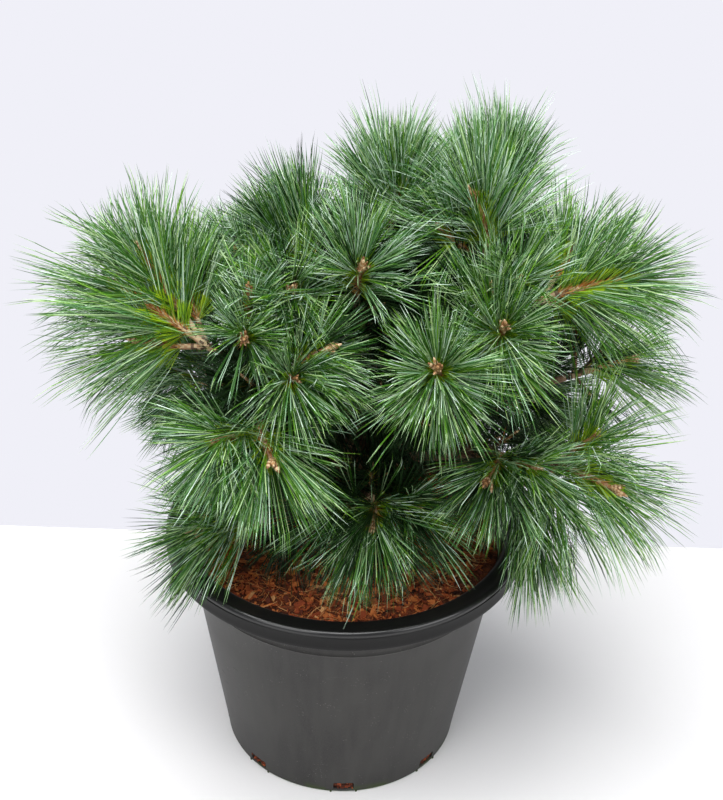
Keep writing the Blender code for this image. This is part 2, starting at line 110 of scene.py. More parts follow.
def add_camera():
    data = bpy.data.cameras.new("camera")
    data.lens = LENS
    data.sensor_width = SENSOR
    camera = placed("camera", data)
    tip = Matrix.Rotation(math.radians(90 - CAMERA_DOWN), 4, "X")
    roll = Matrix.Rotation(math.radians(CAMERA_ROLL), 4, "Z")
    camera.matrix_world = Matrix.Translation(CAMERA_PLACE) @ tip @ roll
    bpy.context.scene.camera = camera
    return camera


print("camera at", tuple(round(value, 3) for value in add_camera().location))

# %% [markdown]
# ## Colours
# Colours are easiest to judge as the eight-bit numbers of a paint chart, but shaders reckon in linear
# light. One function turns the first kind into the second, so that the rest of the script can use plain
# chart values.

# %% Colours


def paint(red, green, blue):
    """A linear colour from three numbers of 0 to 255."""
    linear = []
    for value in (red, green, blue):
        share = value / 255
        linear.append(share / 12.92 if share <= 0.04045 else ((share + 0.055) / 1.055) ** 2.4)
    return tuple(linear)


print("pot grey in linear light", tuple(round(value, 3) for value in paint(66, 66, 67)))

# %% [markdown]
# ## Shader sums in plain Python
# A material is a graph of nodes, and sums between sockets need a Math node each. Wrapping a socket in a
# small class with overloaded operators lets the script write `1 - mask * 0.5` and have the nodes added
# for it. Every other node comes from one method, which sets its settings before its sockets.

# %% Shader sums


def sum_of(operation, swapped=False):
    """A method of Value that adds the Math node of an operation."""

    def method(value, other):
        pair = (other, value) if swapped else (value, other)
        return value.finish.node("ShaderNodeMath", {"operation": operation}, dict(enumerate(pair)))

    return method


class Value:
    """A socket of a material's nodes that can be added, multiplied and so on like a number."""

    def __init__(self, finish, socket):
        self.finish = finish
        self.socket = socket

    __add__ = sum_of("ADD")
    __radd__ = sum_of("ADD", swapped=True)
    __sub__ = sum_of("SUBTRACT")
    __rsub__ = sum_of("SUBTRACT", swapped=True)
    __mul__ = sum_of("MULTIPLY")
    __rmul__ = sum_of("MULTIPLY", swapped=True)


class Finish:
    """The nodes of a material or a world. node() adds any node, shade() fills a socket of the shader."""

    def __init__(self, owner, shader):
        owner.use_nodes = True
        self.material = owner
        self.tree = owner.node_tree
        self.shader = self.tree.nodes[shader]

    def fill(self, socket, value):
        if isinstance(value, Value):
            self.tree.links.new(value.socket, socket)
        elif isinstance(value, tuple) and socket.type == "RGBA":
            socket.default_value = (*value[:3], 1)
        else:
            socket.default_value = value

    def shade(self, name, value):
        self.fill(self.shader.inputs[name], value)

    def node(self, kind, settings, sockets, output=0):
        made = self.tree.nodes.new(kind)
        for name, value in settings.items():
            setattr(made, name, value)
        for name, value in sockets.items():
            self.fill(made.inputs[name], value)
        return Value(self, made.outputs[output])

    def place(self):
        """The point on the object, in metres."""
        return self.node("ShaderNodeTexCoord", {}, {}, "Object")

    def stretched(self, scale):
        """The point on the object, stretched by a scale for each axis."""
        sockets = {0: self.place(), 1: scale}
        return self.node("ShaderNodeVectorMath", {"operation": "MULTIPLY"}, sockets)

    def noise(self, scale, detail):
        sockets = {"Vector": self.stretched(scale), "Scale": 1.0, "Detail": detail}
        return self.node("ShaderNodeTexNoise", {}, sockets)

    def cells(self, scale):
        """How far the point is from the middle of its nearest cell."""
        return self.node("ShaderNodeTexVoronoi", {}, {"Vector": self.stretched(scale), "Scale": 1.0})

    def step(self, value, low, high):
        """0 where the value is under low, 1 where it is over high, and smooth between."""
        settings = {"interpolation_type": "SMOOTHSTEP"}
        return self.node("ShaderNodeMapRange", settings, {0: value, 1: low, 2: high, 3: 0.0, 4: 1.0})

    def mix(self, share, first, second):
        sockets = {0: share, 6: first, 7: second}
        return self.node("ShaderNodeMix", {"data_type": "RGBA"}, sockets, 2)

    def bump(self, height, distance, strength):
        sockets = {"Height": height, "Distance": distance, "Strength": strength}
        self.shade("Normal", self.node("ShaderNodeBump", {}, sockets, "Normal"))


def plain(name, colour, roughness):
    """A material of one colour."""
    finish = Finish(bpy.data.materials.new(name), "Principled BSDF")
    finish.shade("Base Color", colour)
    finish.shade("Roughness", roughness)
    return finish


print("shader sums ready")

# %% [markdown]
# ## Floor, daylight and lamps
# The plant stands on a pale floor before a pale backdrop, under soft light from above. The backdrop could
# be a second plane, but that would hide the plant from behind, so the floor simply ends and the world's
# colour takes over. The world is pale only below the horizon and greyer above it, so that the lamps
# overhead can shape the plant and leave its inside dark.

# %% Floor and light
BACK_LINE = 0.365
FLOOR_SIDE = 3.0
FLOOR_COLOUR = paint(225, 224, 224)
BACK_COLOUR = paint(240, 240, 248)
SKY_COLOUR = paint(160, 162, 168)
BACK_TO, SKY_FROM = -0.02, 0.10
LAMPS = {
    "overhead": ((-0.2, -0.3, 2.3), 2.0, 86),
    "front_left": ((-1.3, -2.0, 1.9), 1.5, 23),
    "front_right": ((1.8, -1.4, 1.6), 1.5, 23),
}


def shaped(name, shape, collection=bpy.context.scene.collection):
    """A new object from a bmesh, which is used up."""
    mesh = bpy.data.meshes.new(name)
    shape.to_mesh(mesh)
    shape.free()
    return placed(name, mesh, collection)


def add_floor():
    shape = bmesh.new()
    middle = (BACK_LINE - FLOOR_SIDE) / 2
    size = Matrix.Diagonal((2 * FLOOR_SIDE, BACK_LINE + FLOOR_SIDE, 1, 1))
    bmesh.ops.create_grid(shape, size=0.5, matrix=Matrix.Translation((0, middle, 0)) @ size)
    floor = shaped("floor", shape)
    floor.data.materials.append(plain("floor_white", FLOOR_COLOUR, 0.6).material)


def add_world():
    world = bpy.data.worlds.new("pale_room")
    room = Finish(world, "Background")
    way = room.node("ShaderNodeTexCoord", {}, {}, "Generated")
    rise = room.node("ShaderNodeSeparateXYZ", {}, {0: way}, 2)
    room.shade("Color", room.mix(room.step(rise, BACK_TO, SKY_FROM), BACK_COLOUR, SKY_COLOUR))
    bpy.context.scene.world = world


def add_lamp(name, place, size, power):
    """A square area lamp that faces the middle of the plant."""
    data = bpy.data.lights.new(name, "AREA")
    data.size = size
    data.energy = power
    middle = Vector((0, 0, solid_high.z / 2))
    facing = (middle - Vector(place)).to_track_quat("-Z", "Y").to_matrix().to_4x4()
    placed(name, data).matrix_world = Matrix.Translation(place) @ facing


add_floor()
add_world()
bpy.context.scene.view_settings.view_transform = "Standard"
for name, (place, size, power) in LAMPS.items():
    add_lamp(name, place, size, power)

# %% [markdown]
# ## Many small shapes, one mesh
# Needles, buds and bark chips come in thousands. Making each an object would be slow, and instances
# would be lost when the model is saved, so each kind is one mesh. The pile below takes an array of
# copies of a small shape, with the faces of one copy, and writes them all to one mesh at the end.

# %% A pile of small shapes


class Pile:
    """Copies of small shapes, gathered for one mesh."""

    def __init__(self):
        self.points = []
        self.corners = []
        self.sizes = []
        self.slots = []
        self.count = 0

    def add(self, points, faces, slots):
        """Adds copies of one shape. The points are an array of copies x points x 3, the faces are those of
        one copy, and the slots are one number, or an array of copies x 1 or of copies x faces."""
        copies, each = points.shape[:2]
        flat = np.array([corner for face in faces for corner in face])
        starts = self.count + each * np.arange(copies)
        self.points.append(points.reshape(-1, 3))
        self.corners.append((starts[:, None] + flat[None, :]).ravel())
        self.sizes.append(np.tile([len(face) for face in faces], copies))
        self.slots.append(np.broadcast_to(np.asarray(slots), (copies, len(faces))).ravel())
        self.count += copies * each

    def build(self, name, finishes, smooth):
        sizes = np.concatenate(self.sizes)
        corners = np.concatenate(self.corners)
        mesh = bpy.data.meshes.new(name)
        mesh.vertices.add(self.count)
        mesh.vertices.foreach_set("co", np.concatenate(self.points).astype(np.float32).ravel())
        mesh.loops.add(len(corners))
        mesh.loops.foreach_set("vertex_index", corners.astype(np.int32))
        mesh.polygons.add(len(sizes))
        mesh.polygons.foreach_set("loop_start", (np.cumsum(sizes) - sizes).astype(np.int32))
        for finish in finishes:
            mesh.materials.append(finish.material)
        mesh.polygons.foreach_set("material_index", np.concatenate(self.slots).astype(np.int32))
        mesh.polygons.foreach_set("use_smooth", np.full(len(sizes), smooth))
        mesh.update(calc_edges=True)
        return placed(name, mesh)


def triangles_in(piece):
    return sum(len(face.vertices) - 2 for face in piece.data.polygons)


def stand_in(piece, nodes):
    """Puts a finished piece on the plant, in place of the solids named."""
    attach(piece, "root")
    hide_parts(*nodes)
    print(piece.name, "has", triangles_in(piece), "triangles")


# %% [markdown]
# ## The pot's shape
# The pot is moulded plastic, turned in section: a tapering wall, a rolled rim with a deep skirt, a thin
# ridge round the wall under it, and a foot. A turned shape is a section swept round an axis. Here the
# section is listed from the middle of the floor, up the inside, over the rim and down the outside.

# %% Pot
POT_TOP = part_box("pot")[1]
POT_HEIGHT = POT_TOP.z
RIM_RADIUS = POT_TOP.x
BASE_RADIUS = 0.1375
SHOULDER_RADIUS = 0.1805
WALL = 0.0025
POT_FLOOR = 0.003
FLOOR_RING = 0.6
INSIDE_LEVELS = (0.08, 0.16, 0.22)
WALL_LEVELS = (0.19, 0.13, 0.07, 0.03)
RIM_DEPTH = 0.0225
RIM_ROUND = 0.0045
RIM_DIP = 0.0004
LIP_RADIUS = 0.184
LIP_DROP = 0.012
LIP_WIDTH = 0.0055
EDGE_WIDTH = 0.0065
GROOVE = 0.0014
GROOVE_FROM, GROOVE_TO, BAND_FROM = 0.0012, 0.0026, 0.0036
BAND_SHARE = 0.4
BAND_TO, HEM_FROM = 0.006, 0.004
UNDER_GAP = 0.001
RIDGE_HEIGHT = 0.2315
RIDGE = 0.0018
RIDGE_PROFILE = ((2.2, 0.0), (0.9, 0.35), (0.0, 1.0), (-0.9, 0.35), (-2.2, 0.0))
FOOT_ROUND = 0.003
FOOT_INSET = 0.0022
POT_STEPS = 144


def wall_radius(height):
    """The outer radius of the pot's tapering wall."""
    return BASE_RADIUS + (SHOULDER_RADIUS - BASE_RADIUS) * height / POT_HEIGHT


def arc(radius, height, size, first, last, steps):
    """Points of an arc in the section, between two angles in degrees."""
    points = []
    for step in range(steps + 1):
        angle = math.radians(first + (last - first) * step / steps)
        points.append((radius + size * math.cos(angle), height + size * math.sin(angle)))
    return points


def pot_section():
    """The section as points of radius and height, from the middle of the floor to the middle underneath."""
    under_rim = POT_HEIGHT - RIM_ROUND
    skirt = POT_HEIGHT - RIM_DEPTH
    top = POT_HEIGHT - RIM_DIP
    inside = [(0.0, POT_FLOOR), (FLOOR_RING * BASE_RADIUS, POT_FLOOR)]
    for height in (POT_FLOOR, *INSIDE_LEVELS, under_rim - LIP_DROP):
        inside.append((wall_radius(height) - WALL, height))
    lip = arc(LIP_RADIUS, under_rim, RIM_ROUND, 180, 90, 7)
    flange = [(LIP_RADIUS + LIP_WIDTH, top), (RIM_RADIUS - EDGE_WIDTH, top)]
    edge = arc(RIM_RADIUS - RIM_ROUND, under_rim, RIM_ROUND, 90, 0, 8)
    groove = [(RIM_RADIUS - GROOVE, under_rim - drop) for drop in (GROOVE_FROM, GROOVE_TO)]
    band = RIM_RADIUS - GROOVE * BAND_SHARE
    groove += [(band, under_rim - BAND_FROM), (band, skirt + BAND_TO), (RIM_RADIUS, skirt + HEM_FROM)]
    hem = arc(RIM_RADIUS - WALL / 2, skirt + WALL / 2, WALL / 2, 0, -180, 6)
    under = [(RIM_RADIUS - WALL, under_rim - WALL / 2)]
    under += [(wall_radius(under_rim) + UNDER_GAP, under_rim - WALL / 2)]
    ridge = []
    for height, out in RIDGE_PROFILE:
        level = RIDGE_HEIGHT + height * RIDGE
        ridge.append((wall_radius(level) + out * RIDGE, level))
    wall = [(wall_radius(height), height) for height in WALL_LEVELS]
    foot = arc(BASE_RADIUS - FOOT_INSET, FOOT_ROUND, FOOT_ROUND, 10, -90, 5)
    return inside + lip + flange + edge + groove + hem + under + ridge + wall + foot + [(0.0, 0.0)]


def turned(section, steps):
    """The points and faces of a section swept round the Z axis, closed on the axis at both ends."""
    ring = section[1:-1]
    angles = np.arange(steps) * math.tau / steps
    radii, heights = np.array(ring).T[:, :, None]
    swept = [radii * np.cos(angles), radii * np.sin(angles), np.repeat(heights, steps, axis=1)]
    rows = np.stack(swept, axis=-1).reshape(-1, 3)
    poles = np.array([[0, 0, section[0][1]], [0, 0, section[-1][1]]])
    first_pole = len(rows)
    faces = []
    for turn in range(steps):
        after = (turn + 1) % steps
        faces.append((first_pole, turn, after))
        for row in range(len(ring) - 1):
            low, high = row * steps, (row + 1) * steps
            faces.append((low + turn, high + turn, high + after, low + after))
        last = (len(ring) - 1) * steps
        faces.append((last + turn, first_pole + 1, last + after))
    return np.concatenate([rows, poles]), faces


def face_outward(mesh):
    shape = bmesh.new()
    shape.from_mesh(mesh)
    bmesh.ops.recalc_face_normals(shape, faces=shape.faces)
    shape.to_mesh(mesh)
    shape.free()


def add_turned(name, section, steps, finish):
    points, faces = turned(section, steps)
    pile = Pile()
    pile.add(points[None], faces, 0)
    made = pile.build(name, [finish], True)
    face_outward(made.data)
    return made


print("pot section has", len(pot_section()), "points")

# %% [markdown]
# ## The pot's plastic
# The charcoal plastic isn't one flat colour: long faint streaks run up the wall from the mould, small
# pale specks and scuffs sit on it, and a little green algae has dried round the foot. The rim, from just
# under its skirt up, is painted near-black as painted shade and dark reflection, and its lip is glossy.
# Each is a mask, made from a stretched noise or from the height, and the masks choose between colours
# and roughnesses.

# %% Pot plastic
PLASTIC_ROUGHNESS = 0.42
GLOSS_FROM, GLOSS_TO = 0.0075, 0.0055
SKIRT_SHADOW = (0.0006, 0.0003)


def pot_plastic():
    finish = plain("pot_plastic", paint(50, 49, 48), PLASTIC_ROUGHNESS)
    place = finish.place()
    height = finish.node("ShaderNodeSeparateXYZ", {}, {0: place}, 2)
    streaks = finish.noise((85, 85, 2.2), 4.0)
    clouds = finish.noise((13, 13, 9), 3.0)
    speckle = finish.cells((330, 330, 330))
    rare = finish.step(finish.noise((60, 60, 60), 1.0), 0.56, 0.66)
    specks = (1 - finish.step(speckle, 0.10, 0.24)) * rare
    scuffs = finish.step(finish.noise((55, 55, 240), 2.0), 0.66, 0.76) * finish.step(clouds, 0.46, 0.62)
    grey = finish.mix(finish.step(streaks, 0.32, 0.68), paint(44, 43, 42), paint(54, 53, 51))
    grey = finish.mix(finish.step(clouds, 0.35, 0.75) * 0.4, grey, paint(66, 65, 62))
    grey = finish.mix(specks * 0.5, grey, paint(132, 130, 124))
    grey = finish.mix(scuffs * 0.30, grey, paint(92, 91, 88))
    grain = finish.noise((900, 900, 900), 2.0)
    grey = finish.mix(finish.step(grain, 0.40, 0.64) * 0.5, grey, paint(59, 58, 56))
    # Painted shade and dark reflection: from just under the skirt's hem upward, rim and lip are painted
    # near-black.
    skirt = POT_HEIGHT - RIM_DEPTH
    painted_rim_shade = finish.step(height, skirt - SKIRT_SHADOW[0], skirt - SKIRT_SHADOW[1])
    grey = finish.mix(painted_rim_shade * 0.9, grey, paint(12, 12, 12))
    lip = finish.step(height, POT_HEIGHT - GLOSS_FROM, POT_HEIGHT - GLOSS_TO)
    damp = finish.step(finish.noise((40, 40, 90), 3.0), 0.42, 0.62)
    algae = (1 - finish.step(height, 0.002, 0.016)) * damp * 0.6
    algae = finish.step(algae + (1 - finish.step(height, 0.0012, 0.0036)) * 0.8, 0.0, 1.0)
    finish.shade("Base Color", finish.mix(algae, grey, paint(58, 74, 34)))
    roughness = PLASTIC_ROUGHNESS + streaks * 0.08 + scuffs * 0.20 + algae * 0.3 - lip * 0.12
    finish.shade("Roughness", roughness)
    finish.shade("Specular IOR Level", 0.2)
    finish.shade("Coat Weight", lip * 0.7)
    finish.shade("Coat Roughness", 0.16)
    finish.bump(grain * 0.25 + streaks * 0.8 - scuffs * 0.3, 0.00025, 0.5)
    return finish


plastic = pot_plastic()
print("pot plastic has", len(plastic.tree.nodes), "nodes")

# %% [markdown]
# ## Drainage slots
# Eight slots let water out just above the foot, each with a shallow notch in the rim of the foot under
# it and two small pegs beside it. They could be modelled into the wall by hand, but cutting them is
# truer to how the mould makes them: rounded blocks in a ring, taken away from the wall with one Boolean.

# %% Drainage slots
SLOTS = 8
SLOT_TURN = 3.0
SLOT_SIZE = (0.020, 0.0235, 0.0105)
SLOT_CORNER = 0.0016
SLOT_SILL = 0.0050
NOTCH_SIZE = (0.014, 0.027, 0.0036)
NOTCH_CORNER = 0.0007
NOTCH_SHIFT = 0.004
SHARP_ANGLE = 32
PEG_GAP = 0.029
PEG_SIZE = (0.0040, 0.0022, 0.0030)
PEG_SUNK = 0.0006
PEG_CORNER = 0.0004


def slot_bearing(number):
    return math.radians(SLOT_TURN - 90) + number * math.tau / SLOTS


def add_block(name, size, corner, matrix, cutters):
    """A block with its long edges rounded off, along its first axis."""
    shape = bmesh.new()
    bmesh.ops.create_cube(shape, size=1.0, matrix=Matrix.Diagonal((*size, 1)))
    along = [edge for edge in shape.edges if abs((edge.verts[0].co - edge.verts[1].co).x) > size[0] / 2]
    bmesh.ops.bevel(shape, geom=along, offset=corner, segments=4, affect="EDGES", profile=0.5)
    shape.transform(matrix)
    shaped(name, shape, cutters)


def cut_slots(pot):
    cutters = bpy.data.collections.new("cutters")
    bpy.context.scene.collection.children.link(cutters)
    for number in range(SLOTS):
        wall = Matrix.Rotation(slot_bearing(number), 4, "Z") @ Matrix.Translation((BASE_RADIUS, 0, 0))
        sill = Matrix.Translation((0, 0, SLOT_SILL + SLOT_SIZE[2] / 2))
        shift = Matrix.Translation((NOTCH_SHIFT, 0, 0))
        add_block("slot_cutter", SLOT_SIZE, SLOT_CORNER, wall @ sill, cutters)
        add_block("notch_cutter", NOTCH_SIZE, NOTCH_CORNER, wall @ shift, cutters)
    cut = pot.modifiers.new("slots", "BOOLEAN")
    cut.operation = "DIFFERENCE"
    cut.operand_type = "COLLECTION"
    cut.collection = cutters
    cut.solver = "EXACT"
    bpy.context.view_layer.update()
    graph = bpy.context.evaluated_depsgraph_get()
    mesh = bpy.data.meshes.new_from_object(pot.evaluated_get(graph), depsgraph=graph)
    pot.modifiers.clear()
    pot.data = mesh
    for found in list(cutters.objects):
        bpy.data.objects.remove(found, do_unlink=True)
    bpy.data.collections.remove(cutters)
    mesh.shade_smooth()
    mesh.set_sharp_from_angle(angle=math.radians(SHARP_ANGLE))


def add_pegs(finish):
    """Two small pegs of flash that stand out of the foot beside each slot."""
    shape = bmesh.new()
    out = Matrix.Translation((BASE_RADIUS - PEG_SUNK, 0, PEG_SIZE[2] / 2))
    for number in range(2 * SLOTS):
        bearing = slot_bearing(number // 2) + (PEG_GAP if number % 2 else -PEG_GAP) / 2 / BASE_RADIUS
        block = Matrix.Rotation(bearing, 4, "Z") @ out @ Matrix.Diagonal((*PEG_SIZE, 1))
        bmesh.ops.create_cube(shape, size=1.0, matrix=block)
    edges = list(shape.edges)
    bmesh.ops.bevel(shape, geom=edges, offset=PEG_CORNER, segments=2, affect="EDGES", profile=0.5)
    pegs = shaped("pot_pegs", shape)
    pegs.data.materials.append(finish.material)
    return pegs


pot = add_turned("pot_shell", pot_section(), POT_STEPS, plastic)
cut_slots(pot)
stand_in(pot, ["pot"])
stand_in(add_pegs(plastic), ["pot"])

# %% [markdown]
# ## The bed of bark
# The pot is filled with reddish bark and coir. Under the loose chips lies a packed bed. Its top is a
# turned surface lifted by noise, so that it is uneven but stays a closed body down to the pot's floor,
# where it shows through the drainage slots.

# %% Bed of bark
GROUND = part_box("substrate")[1].z
BED_GAP = 0.0003
MOUND = 0.003
MOUND_REACH = 0.080
BED_RINGS = 46
BED_STEPS = 150
BED_EDGE = ((0.0008, 0.001), (0.0, 0.004))
BED_LEVELS = (0.18, 0.10, 0.04, 0.015)
BED_GRAIN = 75
BED_ROUGHNESS = 0.0022
BED_DIP = 0.0012
BED_FADE = 0.01
BED_SIDE_FROM = 0.0005


def bed_height(radius):
    """The level of the bed: a low mound round the trunk, then a slight dip towards the wall."""
    mound = MOUND * (1 - min(radius / MOUND_REACH, 1.0) ** 2)
    return GROUND - MOUND + mound


def pot_inside(height, gap):
    """How far from the axis a thing may reach inside the pot, with a gap to the wall."""
    return wall_radius(height) - WALL - gap


def bark_bed():
    finish = plain("bark_bed", paint(120, 60, 32), 0.95)
    chunks = finish.cells((170, 170, 170))
    blotches = finish.noise((60, 60, 60), 5.0)
    fine = finish.noise((520, 520, 520), 3.0)
    brown = finish.mix(finish.step(blotches, 0.3, 0.7), paint(72, 34, 18), paint(142, 74, 38))
    brown = finish.mix(finish.step(fine, 0.55, 0.75) * 0.6, brown, paint(182, 118, 66))
    finish.shade("Base Color", finish.mix(finish.step(chunks, 0.35, 0.8) * 0.5, brown, paint(40, 20, 12)))
    finish.bump(blotches + fine * 0.5 - chunks * 0.6, 0.0025, 0.9)
    return finish


def add_bed(finish):
    edge = pot_inside(GROUND - MOUND, BED_GAP)
    rings = [(0.0, GROUND)]
    for step in range(1, BED_RINGS):
        rings.append((edge * step / BED_RINGS, bed_height(edge * step / BED_RINGS)))
    rings += [(edge - inset, GROUND - MOUND - drop) for inset, drop in BED_EDGE]
    rings += [(pot_inside(height, BED_GAP), height) for height in BED_LEVELS]
    rings += [(pot_inside(POT_FLOOR, BED_GAP), POT_FLOOR + BED_GAP), (0.0, POT_FLOOR + BED_GAP)]
    bed = add_turned("bark_bed", rings, BED_STEPS, finish)
    for vertex in bed.data.vertices:
        x, y, z = vertex.co
        if z < GROUND - MOUND - BED_SIDE_FROM:
            continue
        fade = min(1.0, (edge - math.hypot(x, y)) / BED_FADE)
        lift = noise.fractal(Vector((x, y, 0.0)) * BED_GRAIN, 1.0, 2.0, 4)
        vertex.co.z = min(z, GROUND - BED_DIP) + BED_ROUGHNESS * fade * lift
    return bed


stand_in(add_bed(bark_bed()), ["substrate"])

# %% [markdown]
# ## Loose chips and fibres
# On top lie chips of bark and threads of coir, from dark red-brown to pale tan. A chip is a box with its
# corners pushed about, and a fibre is a thin bent three-sided tube. Both are dealt out by a seeded dice,
# thickly enough to hide the bed, and each has one of a few plain colours.

# %% Chips and fibres
CHIPS = 4000
IN_EACH_SLOT = 24
IN_SLOTS = SLOTS * IN_EACH_SLOT
CHIP_COLOURS = [
    (150, 68, 32),
    (172, 84, 40),
    (98, 44, 24),
    (204, 118, 58),
    (66, 32, 18),
    (216, 158, 100),
]
CHIP_WEIGHTS = np.array([5, 6, 3, 5, 1, 2])
SLOT_CHIP_COLOURS = [0, 2, 4]
SLOT_CHIP_LENGTH = 0.0045
ACROSS_SLOT = (-0.45, 0.45)
UP_SLOT = (0.1, 0.95)
BEHIND_SLOT = (0.0012, 0.0024)
CHIP_INSET = 0.0085
SHORTEST_CHIP = 0.0025
CHIP_RANGE = 0.0085
CHIP_POWER = 1.8
CHIP_WIDTHS = (0.25, 0.6)
CHIP_HEIGHTS = (0.10, 0.28)
CHIP_SKEW = 0.11
CHIP_TILT = 0.45
CHIP_LIFTS = (-0.0002, 0.0028)
BOX_FACES = [(0, 3, 2, 1), (4, 5, 6, 7), (0, 1, 5, 4), (1, 2, 6, 5), (2, 3, 7, 6), (3, 0, 4, 7)]
BOX_FOOT = ((-0.5, -0.5), (0.5, -0.5), (0.5, 0.5), (-0.5, 0.5))
BOX_POINTS = np.array([[x, y, z] for z in (-0.5, 0.5) for x, y in BOX_FOOT])


def turns(angles, axis):
    """Turns about the axis of a number, as an array of angles x 3 x 3."""
    made = np.zeros((len(angles), 3, 3))
    first, second = (axis + 1) % 3, (axis + 2) % 3
    made[:, axis, axis] = 1
    made[:, first, first] = made[:, second, second] = np.cos(angles)
    made[:, second, first] = np.sin(angles)
    made[:, first, second] = -np.sin(angles)
    return made


def spin(dice, count, tilt):
    """Random turns about Z after a random tilt, as an array of count x 3 x 3."""
    about = dice.uniform(0, math.tau, count)
    lean = dice.normal(0, tilt, (count, 2))
    return turns(about, 2) @ turns(lean[:, 0], 0) @ turns(lean[:, 1], 1)


def round_axis(radius, around, level):
    """An array of points from arrays of radii, angles and heights."""
    return np.stack([radius * np.cos(around), radius * np.sin(around), level], -1)


def scatter(dice, count, inset):
    """Random points on the bed."""
    radius = pot_inside(GROUND - MOUND, inset) * np.sqrt(dice.uniform(0.0, 1.0, count))
    around = dice.uniform(0, math.tau, count)
    return round_axis(radius, around, np.array([bed_height(value) for value in radius]))


def in_slots(dice):
    """Random points just inside the drainage slots."""
    middles = slot_bearing(np.repeat(np.arange(SLOTS), IN_EACH_SLOT))
    around = middles + dice.uniform(*ACROSS_SLOT, IN_SLOTS) * SLOT_SIZE[1] / BASE_RADIUS
    level = SLOT_SILL + SLOT_SIZE[2] * dice.uniform(*UP_SLOT, IN_SLOTS)
    return round_axis(wall_radius(level) - dice.uniform(*BEHIND_SLOT, IN_SLOTS), around, level)


def add_chips(dice, finishes):
    pile = Pile()
    length = SHORTEST_CHIP + CHIP_RANGE * dice.uniform(0, 1, CHIPS) ** CHIP_POWER
    length[:IN_SLOTS] = SLOT_CHIP_LENGTH
    width = length * dice.uniform(*CHIP_WIDTHS, CHIPS)
    height = length * dice.uniform(*CHIP_HEIGHTS, CHIPS)
    corners = BOX_POINTS[None] + dice.normal(0, CHIP_SKEW, (CHIPS, 8, 3))
    sized = corners * np.stack([length, width, height], -1)[:, None, :]
    corners = np.einsum("nij,npj->npi", spin(dice, CHIPS, CHIP_TILT), sized)
    middle = scatter(dice, CHIPS, CHIP_INSET)
    middle[:, 2] += dice.uniform(*CHIP_LIFTS, CHIPS)
    middle[:IN_SLOTS] = in_slots(dice)
    slots = dice.choice(len(finishes), CHIPS, p=CHIP_WEIGHTS / CHIP_WEIGHTS.sum())
    slots[:IN_SLOTS] = dice.choice(SLOT_CHIP_COLOURS, IN_SLOTS)
    pile.add(middle[:, None, :] + corners, BOX_FACES, slots[:, None])
    return pile.build("bark_chips", finishes, False)


chip_finishes = [plain(f"chip_{number}", paint(*shade), 0.9) for number, shade in enumerate(CHIP_COLOURS)]
stand_in(add_chips(np.random.default_rng(3), chip_finishes), ["substrate"])

# %% [markdown]
# ## Tubes along a path
# Fibres, shoots, boughs and the trunk are all tubes that follow a bent path and change in thickness. A
# curve with a bevel would do, but a mesh made ring by ring lets the bark's relief move each point. The
# rings are kept from twisting by carrying one side direction along the path.

# %% Tubes along a path
FIBRES = 1900
FIBRE_PARTS = 4
FIBRE_COLOURS = [1, 3, 3, 5, 0]
FIBRE_INSET = 0.012
FIBRE_ROOM = 0.002
FIBRE_LENGTHS = (0.008, 0.030)
FIBRE_CURLS = (-1.6, 1.6)
FIBRE_LIFTS = (0.0010, 0.0036)
FIBRE_RISES = (-0.12, 0.14)
FIBRE_WIDTHS = (0.00018, 0.00042)
FIBRE_END = 0.4


def rings_along(path, radii, sides, relief=None):
    """Rings of points square to a path: an array of rings x sides x 3."""
    side = Vector((0, 0, 1)).cross(path[1] - path[0])
    if side.length < 1e-6:
        side = Vector((1, 0, 0))
    rings = []
    for number, point in enumerate(path):
        before = path[max(number - 1, 0)]
        after = path[min(number + 1, len(path) - 1)]
        along = (after - before).normalized()
        side = (side - along * side.dot(along)).normalized()
        other = along.cross(side)
        ring = []
        for turn in range(sides):
            angle = turn * math.tau / sides
            out = math.cos(angle) * side + math.sin(angle) * other
            radius = radii[number]
            if relief is not None:
                radius *= relief(point + out * radius, number / (len(path) - 1))
            ring.append(point + out * radius)
        rings.append(ring)
    return np.array(rings)


def tube_faces(rings, sides):
    """Faces of a closed tube: its sides, and a flat cap at each end."""
    faces = [tuple(reversed(range(sides)))]
    for ring in range(rings - 1):
        low, high = ring * sides, (ring + 1) * sides
        for turn in range(sides):
            after = (turn + 1) % sides
            faces.append((low + turn, low + after, high + after, high + turn))
    faces.append(tuple(range((rings - 1) * sides, rings * sides)))
    return faces


def add_tube(pile, path, radii, sides, slots, relief=None):
    rings = rings_along(path, radii, sides, relief)
    pile.add(rings.reshape(1, -1, 3), tube_faces(len(path), sides), slots)


def add_fibres(dice, finishes):
    pile = Pile()
    limit = pot_inside(GROUND - MOUND, FIBRE_ROOM)
    for foot in scatter(dice, FIBRES, FIBRE_INSET):
        length = dice.uniform(*FIBRE_LENGTHS)
        around = dice.uniform(0, math.tau)
        curl = dice.uniform(*FIBRE_CURLS)
        point = Vector(foot) + Vector((0, 0, dice.uniform(*FIBRE_LIFTS)))
        path = [point]
        for step in range(FIBRE_PARTS):
            heading = around + curl * step / FIBRE_PARTS
            rise = dice.uniform(*FIBRE_RISES)
            point = point + Vector((math.cos(heading), math.sin(heading), rise)) * length / FIBRE_PARTS
            path.append(point)
        if max(math.hypot(point.x, point.y) for point in path) > limit:
            continue
        width = dice.uniform(*FIBRE_WIDTHS)
        widths = [width] * FIBRE_PARTS + [width * FIBRE_END]
        add_tube(pile, path, widths, 3, int(dice.choice(FIBRE_COLOURS)))
    return pile.build("coir_fibres", finishes, False)


stand_in(add_fibres(np.random.default_rng(4), chip_finishes), ["substrate"])

# %% [markdown]
# ## The plan of the crown
# Each row below is one bough and the brush of needles at its end: the part of the trunk or older bough
# that it leaves, where its leading bud sits, and which way its leading shoot points. The bough itself is
# worked out from its two ends. A table of about thirty rows is short enough to read and to change.

